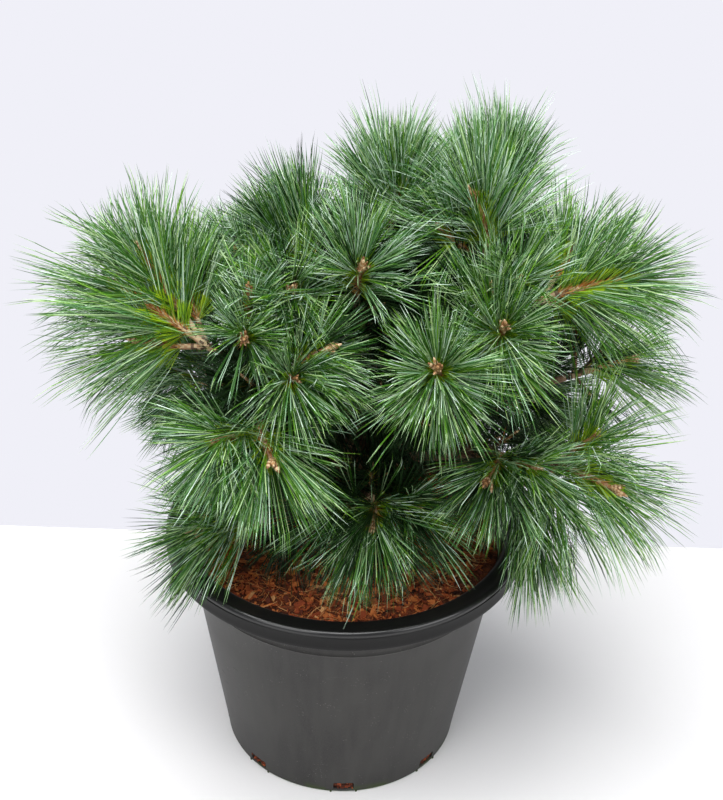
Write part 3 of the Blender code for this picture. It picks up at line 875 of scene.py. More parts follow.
# %% Plan of the crown
GAP = 0.0003
UP = Vector((0, 0, 1))
TRUNK_TIP = Vector((0.032, 0.015, 0.612))
TRUNK_BEND = Vector((0.0, 0.0, 0.450))
TRUNK_RADIUS = 0.021
TRUNK_TIP_RADIUS = 0.0042
FLARE = 0.010
FLARE_HEIGHT = 0.018
BOUGH_RADIUS = 0.0085
FORK_RADIUS = 0.0060
BOUGH_TIP_RADIUS = 0.0036
TAPER_POWER = 0.8
PARENT_SHARE = 0.8
BOUGH_SWEEP = 0.6
BOUGH_POINTS = 6
TRUNK_POINTS = 9
FLARE_CROWDING = 1.6

Limb = namedtuple(
    "Limb",
    "name parent leaves bud_bearing bud_reach bud_height bearing rise length sides spread roll",
)
LIMBS = [
    Limb("top", "trunk", 1.0, 29, 0.041, 0.676, 67, 81, 0.070, 2, 42, 160),
    Limb("left", "trunk", 0.375, -170, 0.234, 0.583, 159, 26, 0.123, 2, 42, 0),
    Limb("left_front", "left", 0.62, -122, 0.178, 0.582, -93, 36, 0.090, 1, 35, 90),
    Limb("left_under", "left", 0.42, -141, 0.159, 0.462, -160, 15, 0.080, 1, 40, 180),
    Limb("low_left", "trunk", 0.298, -143, 0.182, 0.341, -154, 3, 0.080, 1, 40, 90),
    Limb("front_left", "trunk", 0.345, -108, 0.211, 0.484, -79, 6, 0.082, 1, 45, 180),
    Limb("low_front", "trunk", 0.310, -79, 0.153, 0.381, -88, 10, 0.070, 2, 50, 0),
    Limb("front", "trunk", 0.395, -67, 0.206, 0.576, -87, 40, 0.092, 2, 15, 20),
    Limb("mid_front", "front_left", 0.60, -99, 0.142, 0.567, -28, 41, 0.070, 1, 45, 200),
    Limb("upper_front", "trunk", 0.505, -84, 0.090, 0.627, -85, 51, 0.070, 1, 45, 90),
    Limb("upper_left", "trunk", 0.470, -121, 0.105, 0.604, -100, 46, 0.072, 1, 45, 270),
    Limb("crest", "trunk", 0.475, -10, 0.118, 0.675, -136, 78, 0.080, 1, 45, 250),
    Limb("crest_back", "crest", 0.50, 28, 0.173, 0.674, 60, 66, 0.080, 1, 40, 20),
    Limb("right", "trunk", 0.430, -8, 0.276, 0.604, 11, 12, 0.107, 2, 45, 8),
    Limb("right_front", "right", 0.45, -45, 0.199, 0.595, -73, 42, 0.080, 1, 40, 90),
    Limb("right_upper", "right", 0.62, -30, 0.182, 0.622, -66, 46, 0.070, 0, 40, 0),
    Limb("right_middle", "trunk", 0.378, 7, 0.305, 0.480, 23, 7, 0.080, 1, 40, 90),
    Limb("right_low", "trunk", 0.350, -20, 0.288, 0.400, -25, -6, 0.075, 3, 50, -30),
    Limb("front_right", "right_low", 0.45, -47, 0.204, 0.438, -99, 8, 0.070, 1, 45, 0),
    Limb("low_right", "trunk", 0.300, -27, 0.221, 0.340, -60, -31, 0.070, 1, 50, 60),
    Limb("side_left", "trunk", 0.432, 153, 0.133, 0.578, 180, 58, 0.070, 1, 45, 250),
    Limb("back_left_top", "trunk", 0.490, 115, 0.144, 0.598, 121, 45, 0.080, 1, 45, 0),
    Limb("back_top", "trunk", 0.515, 55, 0.120, 0.640, 55, 65, 0.080, 1, 45, 0),
    Limb("back_right", "trunk", 0.410, 38, 0.250, 0.560, 38, 30, 0.090, 3, 45, 90),
    Limb("back", "trunk", 0.455, 82, 0.220, 0.550, 82, 38, 0.090, 3, 45, 90),
    Limb("back_left", "trunk", 0.400, 128, 0.240, 0.520, 128, 28, 0.090, 3, 45, 90),
    Limb("back_right_low", "trunk", 0.322, 25, 0.260, 0.400, 25, 8, 0.090, 2, 45, 90),
    Limb("back_low", "trunk", 0.305, 78, 0.250, 0.390, 78, 6, 0.090, 2, 45, 90),
    Limb("back_left_low", "trunk", 0.315, 152, 0.250, 0.410, 152, 8, 0.090, 2, 45, 90),
]
print("limbs planned:", len(LIMBS))

# %% [markdown]
# ## Where the limbs run
# A bough leaves its parent, swings out, and ends in line with its leading shoot. That is a quadratic
# curve: two ends and one control point between them, pulled towards the line of the shoot. The same few
# functions place the trunk, every bough and every shoot, so all of them meet.

# %% Where the limbs run


def direction(bearing, rise):
    """The unit vector that points along a compass bearing and up by a rise, both in degrees."""
    around, lift = math.radians(bearing), math.radians(rise)
    flat = math.cos(lift)
    return Vector((flat * math.cos(around), flat * math.sin(around), math.sin(lift)))


def between(first, last, share):
    return first + (last - first) * share


def shares_of(count, crowding=1):
    """Shares from 0 to 1, crowded towards 0 by a power."""
    return [(step / (count - 1)) ** crowding for step in range(count)]


STEM_FIELDS = "start control end foot_radius tip_radius taper flare limb rank"


class Stem(namedtuple("Stem", STEM_FIELDS, defaults=(TAPER_POWER, 0.0, "", 0))):
    """The trunk, a bough or a shoot: a quadratic curve with a taper."""

    def point(self, share):
        left = 1 - share
        return left * left * self.start + 2 * left * share * self.control + share * share * self.end

    def radius(self, share):
        flare = self.flare * math.exp(-share * (TRUNK_TIP.z - GROUND) / FLARE_HEIGHT)
        return between(self.foot_radius, self.tip_radius, share**self.taper) + flare

    def sampled(self, shares):
        """The points and the radii at a list of shares."""
        return [self.point(share) for share in shares], [self.radius(share) for share in shares]


def across(axis):
    """Two unit vectors square to an axis and to each other, the first one level."""
    side = UP.cross(axis)
    if side.length < 1e-3:
        side = Vector((1, 0, 0))
    side.normalize()
    return side, axis.cross(side).normalized()


def leaning(axis, angle, turn):
    """The axis tipped over by an angle, towards a turn round it."""
    side, upper = across(axis)
    outward = math.cos(turn) * side + math.sin(turn) * upper
    return math.cos(angle) * axis + math.sin(angle) * outward


def bud_of(limb):
    return direction(limb.bud_bearing, 0) * limb.bud_reach + UP * limb.bud_height


def plan_bough(limb, boughs):
    """A bough from where it leaves its parent to where its leading shoot begins."""
    if limb.parent == "trunk":
        points, radii = TRUNK.sampled(TRUNK_SHARES)
        step = next(i for i, point in enumerate(points) if point.z > limb.leaves)
        share = (limb.leaves - points[step - 1].z) / (points[step].z - points[step - 1].z)
        radius = BOUGH_RADIUS
    else:
        points, radii = boughs[limb.parent].sampled(BOUGH_SHARES)
        place = limb.leaves * (BOUGH_POINTS - 1)
        step, share = int(place) + 1, place - int(place)
        radius = FORK_RADIUS
    start = points[step - 1].lerp(points[step], share)
    widest = PARENT_SHARE * between(radii[step - 1], radii[step], share)
    leader = direction(limb.bearing, limb.rise)
    end = bud_of(limb) - leader * limb.length
    chord = end - start
    control = (start + chord / 2).lerp(end - leader * chord.length / 2, BOUGH_SWEEP)
    return Stem(start, control, end, min(radius, widest), BOUGH_TIP_RADIUS)


TRUNK_START = Vector((0, 0, GROUND + GAP))
TRUNK = Stem(TRUNK_START, TRUNK_BEND, TRUNK_TIP, TRUNK_RADIUS, TRUNK_TIP_RADIUS, flare=FLARE)
TRUNK_SHARES = shares_of(TRUNK_POINTS, FLARE_CROWDING)
BOUGH_SHARES = shares_of(BOUGH_POINTS)
boughs = {}
for limb in LIMBS:
    if limb.leaves < 1:
        boughs[limb.name] = plan_bough(limb, boughs)
print("boughs planned:", len(boughs))

# %% [markdown]
# ## Bark on the trunk and boughs
# Young pine bark is grey-brown and scaly, roughened by the old feet of needles. The relief is real
# geometry: noise moves every point of the fine rings in and out, with longer cracks on the thick trunk.
# The colour then follows in the shader, with warm patches and dark cracks.

# %% Bark
TRUNK_RINGS = 70
TRUNK_CROWDING = 1.25
TRUNK_SIDES = 48
BOUGH_RINGS = 44
BOUGH_SIDES = 14
COLLAR = 0.35
COLLAR_SHARE = 0.09
CRACKS_ROUND, CRACKS_UP = 150, 34
CRACK_WIDTH = 0.35
CRACK_DEPTH = 0.22
LUMP_SCALE = 60
LUMP_SIZE = 0.05
SCAR_SCALES = (430, 190)
SCAR_SIZE = 0.07


def bark_finish():
    finish = plain("bark", paint(150, 118, 94), 0.88)
    patches = finish.noise((70, 70, 70), 4.0)
    cracks = finish.cells((360, 360, 190))
    flecks = finish.noise((900, 900, 500), 3.0)
    brown = finish.mix(finish.step(patches, 0.35, 0.68), paint(104, 76, 54), paint(150, 122, 96))
    brown = finish.mix(finish.step(cracks, 0.45, 0.85) * 0.75, brown, paint(84, 56, 38))
    brown = finish.mix(finish.step(flecks, 0.56, 0.74) * 0.5, brown, paint(198, 172, 146))
    finish.shade("Base Color", brown)
    finish.bump(flecks * 0.5 + patches * 0.4 - cracks * 0.7, 0.0009, 0.9)
    return finish


def trunk_relief(point, share):
    """Long cracks up the trunk, and low lumps."""
    stretched = Vector((point.x * CRACKS_ROUND, point.y * CRACKS_ROUND, point.z * CRACKS_UP))
    crack = max(0.0, CRACK_WIDTH - abs(noise.noise(stretched)))
    return 1.0 - CRACK_DEPTH * crack + LUMP_SIZE * noise.noise(point * LUMP_SCALE)


def bough_relief(point, share):
    """Scars of two sizes, and a collar where the bough leaves its parent."""
    scars = sum(noise.noise(point * scale) * SCAR_SIZE for scale in SCAR_SCALES)
    return 1.0 + scars + COLLAR * math.exp(-((share / COLLAR_SHARE) ** 2))


def add_bark(name, stems, shares, sides, relief):
    pile = Pile()
    for stem in stems:
        add_tube(pile, *stem.sampled(shares), sides, 0, relief)
    return pile.build(name, [bark], True)


bark = bark_finish()
rings = shares_of(TRUNK_RINGS, TRUNK_CROWDING)
stand_in(add_bark("trunk_bark", [TRUNK], rings, TRUNK_SIDES, trunk_relief), ["trunk"])
rings = shares_of(BOUGH_RINGS)
stand_in(add_bark("bough_bark", boughs.values(), rings, BOUGH_SIDES, bough_relief), BOUGH_NODES)

# %% [markdown]
# ## Shoots
# Each bough ends in a leading shoot with a whorl of side shoots, and carries a few finer twigs along its
# own outer part. The leader starts exactly where the bough stops, and the side shoots spread from a point
# just past it. An even whorl would do everywhere, but where the picture shows the side shoots of a limb,
# they are listed instead. Only shoots and twigs carry needles, along their outer part.

# %% Shoots
WHORL_SHARE = 0.10
LEADER_SWEEP = 0.4
SIDE_SWEEP = 0.5
SIDE_SHARE = 0.80
SIDE_LIFT = 0.15
TWIGS = 7
TWIGS_OF = {
    "right_low": 3,
    "low_right": 2,
    "front_right": 4,
    "side_left": 11,
    "back_left": 12,
    "back_low": 12,
}
TWIGS_FROM = 0.40
TWIGS_TO = 0.88
TWIG_LENGTH = 0.042
TWIG_SPREAD = 52
TWIG_TURNS = (-0.4, 0.4)
TWIG_SIZES = (0.7, 1.1)
TOP_TWIGS_FROM, TOP_TWIGS_OVER = 0.7, 0.3
INNER_TWIGS = 22
INNER_TWIGS_FROM, INNER_TWIGS_OVER = 0.14, 0.66
INNER_TWIG_LENGTH = 0.075
INNER_TWIG_SPREADS = (45, 80)
INNER_TWIG_SIZES = (0.8, 1.2)
STEM_FOOT = (BOUGH_TIP_RADIUS * 1.12, 0.0034, 0.0020)
STEM_TIP = (0.0028, 0.0024, 0.0015)
STEM_TAPER = 0.7
GOLDEN_ANGLE = math.radians(137.508)

SIDE_SHOOTS = {
    "left": [(1, 42, 180, 0.090), (1, 38, 297, 0.068), (1, 16, 125, 0.112)],
    "right": [(1, 45, 8, 0.086), (1, 42, 300, 0.060)],
    "right_low": [(1, 50, -30, 0.060), (1, 50, 90, 0.060), (1, 62, 215, 0.036)],
    "right_middle": [(1, 80, 70, 0.055), (2, 62, 40, 0.040), (2, 70, 130, 0.042), (2, 66, 250, 0.036)],
    "top": [(1, 24, 160, 0.056), (1, 22, 340, 0.046)],
    "crest_back": [(1, 28, 10, 0.060)],
    "front": [],
}


def limb_end(limb):
    """Where the shoots begin, and the way that the bough, or the trunk, points there."""
    stem = boughs.get(limb.name, TRUNK)
    before = stem.point((BOUGH_SHARES if limb.name in boughs else TRUNK_SHARES)[-2])
    return stem.end, (stem.end - before).normalized()


def even_whorl(limb):
    """Side shoots all round the leader, as rows of rank, spread, turn and length."""
    around = [limb.roll + number * 360 / limb.sides for number in range(limb.sides)]
    return [(1, limb.spread, turn, SIDE_SHARE * limb.length) for turn in around]


def shoot_from(name, rank, start, control, end):
    return Stem(start, control, end, STEM_FOOT[rank], STEM_TIP[rank], STEM_TAPER, limb=name, rank=rank)


def side_shoot(name, rank, start, out, length):
    end = start + (out + SIDE_LIFT * UP).normalized() * length
    return shoot_from(name, rank, start, start + out * SIDE_SWEEP * length, end)


def shoots_of(limb, dice):
    """The leader, its side shoots, and the finer twigs behind them."""
    tip, along = limb_end(limb)
    start = tip + along * (GAP + BOUGH_TIP_RADIUS)
    bud = bud_of(limb)
    found = [shoot_from(limb.name, 0, start, start + along * LEADER_SWEEP * limb.length, bud)]
    leader = (bud - start).normalized()
    whorl = found[0].point(WHORL_SHARE)
    for rank, spread, turn, length in SIDE_SHOOTS.get(limb.name, even_whorl(limb)):
        out = leaning(leader, math.radians(spread), math.radians(turn))
        found.append(side_shoot(limb.name, rank, whorl, out, length))
    twigs = TWIGS_OF.get(limb.name, TWIGS)
    for number in range(twigs):
        share = TWIGS_FROM + (TWIGS_TO - TWIGS_FROM) * (number + 0.5) / twigs
        if limb.name in boughs:
            root = boughs[limb.name].point(share)
        else:
            root = TRUNK.point(TOP_TWIGS_FROM + TOP_TWIGS_OVER * share)
        turn = dice.uniform(*TWIG_TURNS) + number * GOLDEN_ANGLE
        out = leaning(along, math.radians(TWIG_SPREAD), turn)
        found.append(side_shoot(limb.name, 2, root, out, TWIG_LENGTH * dice.uniform(*TWIG_SIZES)))
    return found


def inner_twigs(dice):
    """Old twigs straight from the trunk, which fill the inside of the crown."""
    found = []
    for number in range(INNER_TWIGS):
        root = TRUNK.point(INNER_TWIGS_FROM + INNER_TWIGS_OVER * (number + 0.5) / INNER_TWIGS)
        out = leaning(UP, math.radians(dice.uniform(*INNER_TWIG_SPREADS)), number * GOLDEN_ANGLE)
        found.append(side_shoot("inner", 2, root, out, INNER_TWIG_LENGTH * dice.uniform(*INNER_TWIG_SIZES)))
    return found


shoot_dice = random.Random(11)
shoots = [shoot for limb in LIMBS for shoot in shoots_of(limb, shoot_dice)]
shoots += inner_twigs(shoot_dice)
print("shoots:", len(shoots), "of them twigs:", sum(shoot.rank == 2 for shoot in shoots))

# %% [markdown]
# ## Room for the needles
# On the real plant, needles bend round the pot's rim and lie on the bed. Bending each one would be slow,
# so a needle that would pierce either is simply left out. One that would stand far past the plant's own
# outline is cut shorter, or left out where too little of it would be left. Both tests work on whole
# arrays at once.

# %% Room for the needles
PROUD = 0.024
CLEAR = 0.001
LIP_CLEAR = 0.002
LOWEST_TIP = 0.002


def pierces_pot(points):
    """Which points lie in the pot's wall, in its rim or under the bed."""
    out = np.hypot(points[..., 0], points[..., 1])
    height = points[..., 2]
    over_rim = height > POT_HEIGHT + CLEAR
    outside = out > RIM_RADIUS + CLEAR
    over_bed = (out < LIP_RADIUS - RIM_ROUND - LIP_CLEAR) & (height > GROUND + CLEAR)
    return ~(over_rim | outside | over_bed)


def room_along(starts, ends):
    """The share of each line from start to end that stays inside the solids' box, a little enlarged."""
    low = np.array(solid_low) - PROUD
    high = np.array(solid_high) + PROUD
    low[2] = LOWEST_TIP
    way = ends - starts
    limit = np.where(way > 0, high, low) - starts
    share = limit / np.where(np.abs(way) < 1e-9, 1e-9, way)
    return np.clip(share.min(axis=1), 0, 1)


print("needles may stand", PROUD * 1000, "mm proud")

# %% [markdown]
# ## One needle
# A white pine needle is a long three-sided blade. Its outer face is deep green, and of the two that meet
# at its inner edge one is a lighter green and one is silvery. A needle could be a curve with a bevel,
# but a tapering prism of a few faces is far lighter. It bends down a little by its own weight, and its
# foot is a fresher yellow-green, a face colour of its own that is painted brighter, as painted light.

# %% One needle
NEEDLE_LENGTH = 0.110
NEEDLE_WIDTH = 0.00082
RING_SHARES = (0.0, 0.23, 0.84)
RING_WIDTHS = (0.7, 1.0, 0.92)
NEEDLE_KINDS = ("outer", "inner", "foot", "silver")
OUTER, INNER, FOOT, SILVER = range(4)
FACE_KINDS = np.array([FOOT, FOOT, INNER, FOOT, INNER, OUTER, SILVER, SILVER, OUTER, INNER])

Needles = namedtuple("Needles", "roots ways outs bends lengths widths tints")


def needle_faces():
    """The faces of one needle: its base, then round ring by ring, then the tip."""
    faces = [(0, 2, 1)]
    last = 3 * len(RING_SHARES) - 3
    for low in range(0, last, 3):
        high = low + 3
        faces += [(low, low + 1, high + 1, high), (low + 1, low + 2, high + 2, high + 1)]
        faces += [(low + 2, low, high, high + 2)]
    return faces + [(last, last + 1, last + 3), (last + 1, last + 2, last + 3), (last + 2, last, last + 3)]


def along_needles(needles, share):
    """Points at a share of each needle's length, on its bent middle line."""
    return needles.roots + (needles.ways * share + needles.bends * share**2) * needles.lengths[:, None]


def needle_points(needles):
    """The points of each needle: rings of three, the first at the inner edge, and the tip."""
    sides = np.cross(needles.ways, needles.outs)
    rings = []
    for share, width in zip(RING_SHARES, RING_WIDTHS):
        middle = along_needles(needles, share)
        for angle in (math.pi, -math.pi / 3, math.pi / 3):
            corner = math.cos(angle) * needles.outs + math.sin(angle) * sides
            rings.append(middle + corner * (needles.widths * width / math.sqrt(3))[:, None])
    return np.stack([*rings, along_needles(needles, 1.0)], axis=1)


NEEDLE_FACES = needle_faces()
print("one needle has", sum(len(face) - 2 for face in NEEDLE_FACES), "triangles")

# %% [markdown]
# ## Needle colours
# Seen close, every brush mixes deep green faces with silvery ones, and yellow-green feet at its heart,
# painted brighter than their own colour as painted light. A pattern in the shader would smear over such
# thin faces, so each face simply takes one of a few plain colours: a set of four for each tint. The first
# tint, near-black, is painted shade deep in the crown, and the third, paler one is painted light on the
# upper brushes.

# %% Needle colours
# Rows are tints, and columns the outer, inner, foot and silver faces. Row 0 is painted shade, row 2 is
# painted light for the upper brushes, and the feet are painted brighter as painted light.
NEEDLE_COLOURS = [
    ((6, 25, 1), (15, 42, 6), (44, 70, 4), (34, 64, 27)),
    ((28, 74, 7), (66, 110, 24), (140, 170, 18), (146, 174, 128)),
    ((74, 120, 68), (130, 168, 112), (156, 186, 38), (188, 210, 190)),
    ((52, 104, 8), (96, 142, 30), (160, 190, 18), (156, 184, 124)),
    ((15, 54, 10), (50, 92, 32), (108, 144, 16), (124, 156, 126)),
]
# The near-black tint is painted shade.
SHADED_TINT = 0
TINTS = len(NEEDLE_COLOURS)


def needle_finishes():
    finishes = []
    for tint, shades in enumerate(NEEDLE_COLOURS):
        for kind, shade in zip(NEEDLE_KINDS, shades):
            finish = plain(f"needle_{kind}_{tint}", paint(*shade), 0.5)
            finish.shade("Specular IOR Level", 0.28)
            finishes.append(finish)
    return finishes


needle_slots = needle_finishes()
print("needle colours:", len(needle_slots))

# %% [markdown]
# ## Needles in fives
# Needles grow in bundles of five that splay from one point, and the bundles climb the shoot in a
# spiral, each turned from the last by the golden angle. Low on the shoot they stand well out, and near
# the bud they point ahead. That one rule gives the brush its shape from every side. Two tables say how
# single brushes differ: their habit, and the side on which they are parted, so that the stem shows. A
# longer vector there parts the brush wider.

# %% Needles in fives
BUNDLES_PER_METRE = (2200, 2000, 900)
NEEDLED_FROM = (0.32, 0.38, 0.42)
NEEDLED_TO = 0.93
SPREAD_AT_STEM = 54
SPREAD_AT_BUD = 27
SPREAD_POWER = 0.9
LEAST_SPREAD = 14.0
TILT_SPREAD = 9.5
TURN_SPREAD = 0.3
ROOT_DEPTH = 0.8
NEXT_TO = 0.02
PARTED_TO = 0.92
PARTED_ABOVE = 0.84
FRONT_SIDE = Vector((0.05, -0.76, 0.65))
PARTED_SIDES = {
    "left": FRONT_SIDE * 1.12,
    "left_front": Vector((-0.66, -0.30, -0.69)) * 1.9,
    "right": FRONT_SIDE * 1.1,
    "right_upper": Vector((0.66, -0.35, -0.66)) * 1.35,
    "right_front": Vector((0.50, -0.30, 0.81)) * 1.25,
    "right_middle": FRONT_SIDE * 1.2,
    "right_low": FRONT_SIDE * 1.45,
    "front_right": FRONT_SIDE * 1.2,
    "mid_front": Vector((-0.30, -0.60, 0.74)) * 1.1,
    "front_left": Vector((0.05, -0.45, 0.89)) * 1.15,
    "upper_front": Vector((-0.35, -0.55, -0.75)) * 1.15,
    "crest": FRONT_SIDE * 1.5,
    "top": FRONT_SIDE * 1.2,
}
DROOP_LOW = 0.30
DROOP_HIGH = 0.10
DROOP_FROM = 0.36
DROOP_OVER = 0.2
DROOP_ENDS_AT = 0.75
LENGTH_BY_RANK = (1.0, 0.92, 0.66)
BUNDLE_SIZES = (0.94, 1.03)
SHORTER_AT_BUD = 0.14
CROWN_MIDDLE = Vector((0.02, 0.0, 0.42))
SHADE_RADIUS = 0.10
SHADE_FADE = 0.15
LIT_IN_SHADE, LIT_OUTSIDE = 0.30, 0.70
FAVOURED = 0.6

Habit = namedtuple("Habit", "length spread lift density tint", defaults=(1.0, 1.0, 0.0, 1.0, 0))
# The tint column gives the paler tint 2 to the upper brushes: painted light.
HABITS = {
    "left": Habit(1.06, lift=0.20, density=1.2, tint=1),
    "left_front": Habit(0.60, tint=4),
    "left_under": Habit(0.82, lift=0.16, tint=4),
    "low_left": Habit(0.90, tint=1),
    "low_front": Habit(0.85, lift=0.06, tint=1),
    "front_left": Habit(0.80, spread=1.12, density=1.1, tint=1),
    "front": Habit(0.71, spread=1.1, density=1.25, tint=1),
    "mid_front": Habit(0.74, tint=1),
    "upper_front": Habit(0.80, lift=0.12, tint=2),
    "upper_left": Habit(0.78, tint=3),
    "top": Habit(0.90, spread=0.66, density=1.25, tint=2),
    "crest": Habit(0.98, spread=0.76, density=1.15, tint=2),
    "crest_back": Habit(0.86, spread=0.48, density=1.6, tint=2),
    "back_top": Habit(0.70, tint=4),
    "back_left_top": Habit(0.90, spread=0.60, density=1.4, tint=4),
    "right": Habit(0.90, spread=0.95, lift=0.34, density=1.3, tint=1),
    "right_front": Habit(0.76, tint=1),
    "right_upper": Habit(0.76, tint=1),
    "right_middle": Habit(0.90, spread=0.60, lift=0.06, density=0.85, tint=3),
    "right_low": Habit(0.98, spread=0.85, lift=0.28, density=0.66, tint=3),
    "front_right": Habit(0.72, density=0.8, tint=1),
    "low_right": Habit(0.90, spread=0.8, density=0.66, tint=1),
    "side_left": Habit(0.56, tint=2),
    "back_right": Habit(0.84, tint=4),
    "back_left": Habit(0.86, density=1.1),
    "back_left_low": Habit(0.74, tint=4),
    "back_right_low": Habit(0.88),
}
USUAL = Habit()

Bundle = namedtuple("Bundle", "root way length tint limb")


def tint_of(shoot, favourite, dice):
    """Which tint a bundle takes: on twigs and deep in the crown the near-black one, a painted shade, and
    otherwise mostly its shoot's favourite.
    """
    depth = ((shoot.end - CROWN_MIDDLE).length - SHADE_RADIUS) / SHADE_FADE
    if shoot.rank == 2 or dice.random() > LIT_IN_SHADE + LIT_OUTSIDE * depth:
        return SHADED_TINT
    return favourite if dice.random() < FAVOURED else dice.randrange(1, TINTS)


def droop_at(height, along, habit):
    """How far needles hang: more low in the crown, less where the shoot stands up."""
    share = min(max((height - DROOP_FROM) / DROOP_OVER, 0.0), 1.0)
    return between(DROOP_LOW, DROOP_HIGH, share) * max(0.0, 1 - along.z / DROOP_ENDS_AT) - habit.lift


def bundles_on(shoot, dice):
    """The bundles of one shoot, in a spiral up to the bud. On the parted side they have no length."""
    habit = HABITS.get(shoot.limb, USUAL)
    needled_from = NEEDLED_FROM[shoot.rank]
    needled = (shoot.end - shoot.start).length * (NEEDLED_TO - needled_from)
    count = int(BUNDLES_PER_METRE[shoot.rank] * needled * habit.density)
    first_turn = dice.uniform(0, math.tau)
    favourite = habit.tint or dice.randrange(1, TINTS)
    parting = PARTED_SIDES.get(shoot.limb, UP * 0)
    found = []
    for number in range(count):
        share = (number + 0.5) / count
        place = between(needled_from, NEEDLED_TO, share)
        along = (shoot.point(place + NEXT_TO) - shoot.point(place - NEXT_TO)).normalized()
        angle = between(SPREAD_AT_STEM, SPREAD_AT_BUD, share**SPREAD_POWER)
        angle = max(LEAST_SPREAD, angle * habit.spread + dice.gauss(0, TILT_SPREAD))
        turn = first_turn + number * GOLDEN_ANGLE + dice.gauss(0, TURN_SPREAD)
        way = leaning(along, math.radians(angle), turn).normalized()
        outward = (way - along * way.dot(along)).normalized()
        here = shoot.point(place)
        root = here + outward * shoot.radius(place) * ROOT_DEPTH
        way = (way - UP * droop_at(here.z, along, habit)).normalized()
        reach = NEEDLE_LENGTH * dice.uniform(*BUNDLE_SIZES) * (1 - SHORTER_AT_BUD * share)
        reach *= LENGTH_BY_RANK[shoot.rank]
        parted = shoot.rank < 2 and share < PARTED_TO and outward.dot(parting) > PARTED_ABOVE
        reach *= 0.0 if parted else habit.length
        found.append(Bundle(root, way, reach, tint_of(shoot, favourite, dice), shoot.limb))
    return found


bundle_dice = random.Random(21)
bundles = [bundle for shoot in shoots for bundle in bundles_on(shoot, bundle_dice)]
print("bundles:", len(bundles))

# %% [markdown]
# ## Brushes of needles
# Now every bundle becomes five needles. All of a region's needles are worked out together with arrays,
# which takes a moment where a loop would take minutes. The crown is split into regions only so that no
# single mesh grows too heavy.

# %% Brushes of needles
REGIONS = {
    "needles_left": ["left", "left_front", "left_under", "side_left"],
    "needles_front": ["front_left", "low_left", "low_front", "front", "mid_front"],
    "needles_top": ["top", "upper_front", "upper_left", "crest", "crest_back"],
    "needles_right": ["right", "right_front", "right_upper", "right_middle"],
    "needles_low_right": ["right_low", "front_right", "low_right"],
    "needles_back": ["back_left_top", "back_top", "back_right", "back"],
    "needles_low_back": ["back_left", "back_right_low", "back_low", "back_left_low"],
    "needles_inner": ["inner"],
}
FIRST_SEED = 100
IN_BUNDLE = 5
NEEDLE_SIZES = (0.95, 1.03)
NEEDLE_WIDTHS = (0.85, 1.15)
SPLAY, SPLAY_SPREAD = 5.0, 2.5
UNEVEN = 0.25
CURL = 0.15
SAG = 0.21
SAG_SHARES = (0.4, 1.6)
SHORTEST = 0.6
STRAYS = 0.5
PROBED = (0.4, 0.5, 0.7, 0.8, 0.88)


def unit(vectors):
    return vectors / np.linalg.norm(vectors, axis=1)[:, None]


def fives(values):
    """An array with each value or row five times over."""
    return np.repeat(np.array(values), IN_BUNDLE, axis=0)


def five_each(chosen, dice):
    """The needles of the chosen bundles, as arrays with five rows for each bundle."""
    count = IN_BUNDLE * len(chosen)
    axes = fives([bundle.way for bundle in chosen])
    lengths = fives([bundle.length for bundle in chosen]) * dice.uniform(*NEEDLE_SIZES, count)
    tints = fives([bundle.tint for bundle in chosen])
    strays = (tints > SHADED_TINT) & (dice.uniform(0, 1, count) < STRAYS)
    tints = np.where(strays, dice.integers(1, TINTS, count), tints)
    side = unit(np.cross(axes, fives(dice.normal(0, 1, (len(chosen), 3)))))
    other = np.cross(axes, side)
    around = np.tile(np.arange(IN_BUNDLE) * math.tau / IN_BUNDLE, len(chosen))
    around = (around + dice.normal(0, UNEVEN, count))[:, None]
    outs = np.cos(around) * side + np.sin(around) * other
    splay = np.radians(np.abs(dice.normal(SPLAY, SPLAY_SPREAD, count)))[:, None]
    ways = unit(axes * np.cos(splay) + outs * np.sin(splay))
    outs = unit(outs - ways * np.einsum("ij,ij->i", outs, ways)[:, None])
    bends = fives(dice.normal(0, CURL, (len(chosen), 3)))
    level = np.hypot(ways[:, 0], ways[:, 1])
    bends[:, 2] -= SAG * level * fives(dice.uniform(*SAG_SHARES, len(chosen)))
    widths = NEEDLE_WIDTH * dice.uniform(*NEEDLE_WIDTHS, count)
    return Needles(fives([bundle.root for bundle in chosen]), ways, outs, bends, lengths, widths, tints)


def add_needles(name, limbs, dice):
    needles = five_each([bundle for bundle in bundles if bundle.limb in limbs and bundle.length > 0], dice)
    room = room_along(needles.roots, along_needles(needles, 1.0))
    needles = needles._replace(lengths=needles.lengths * room)
    points = needle_points(needles)
    probes = np.stack([along_needles(needles, share) for share in PROBED], axis=1)
    pierced = pierces_pot(points).any(axis=1) | pierces_pot(probes).any(axis=1)
    fit = ~pierced & (room > SHORTEST)
    slots = len(NEEDLE_KINDS) * needles.tints[fit][:, None] + FACE_KINDS[None, :]
    pile = Pile()
    pile.add(points[fit], NEEDLE_FACES, slots)
    return pile.build(name, needle_slots, False)


for number, (name, limbs) in enumerate(REGIONS.items()):
    piece = add_needles(name, limbs, np.random.default_rng(FIRST_SEED + number))
    nodes = [node for node in NEEDLE_NODES if node.removesuffix("_needles") in limbs]
    stand_in(piece, nodes or NEEDLE_NODES)

# %% [markdown]
# ## Stems of the shoots
# Under the needles the young stems are orange-brown, and grey-brown where they are a year older. They
# are slim tapering tubes with a relief of small cushions, the feet of needles that have dropped. Each
# face takes a plain colour by its age. The darkest colour, on the oldest faces and so mostly on the
# twigs inside the crown, is partly older bark and partly painted shade.

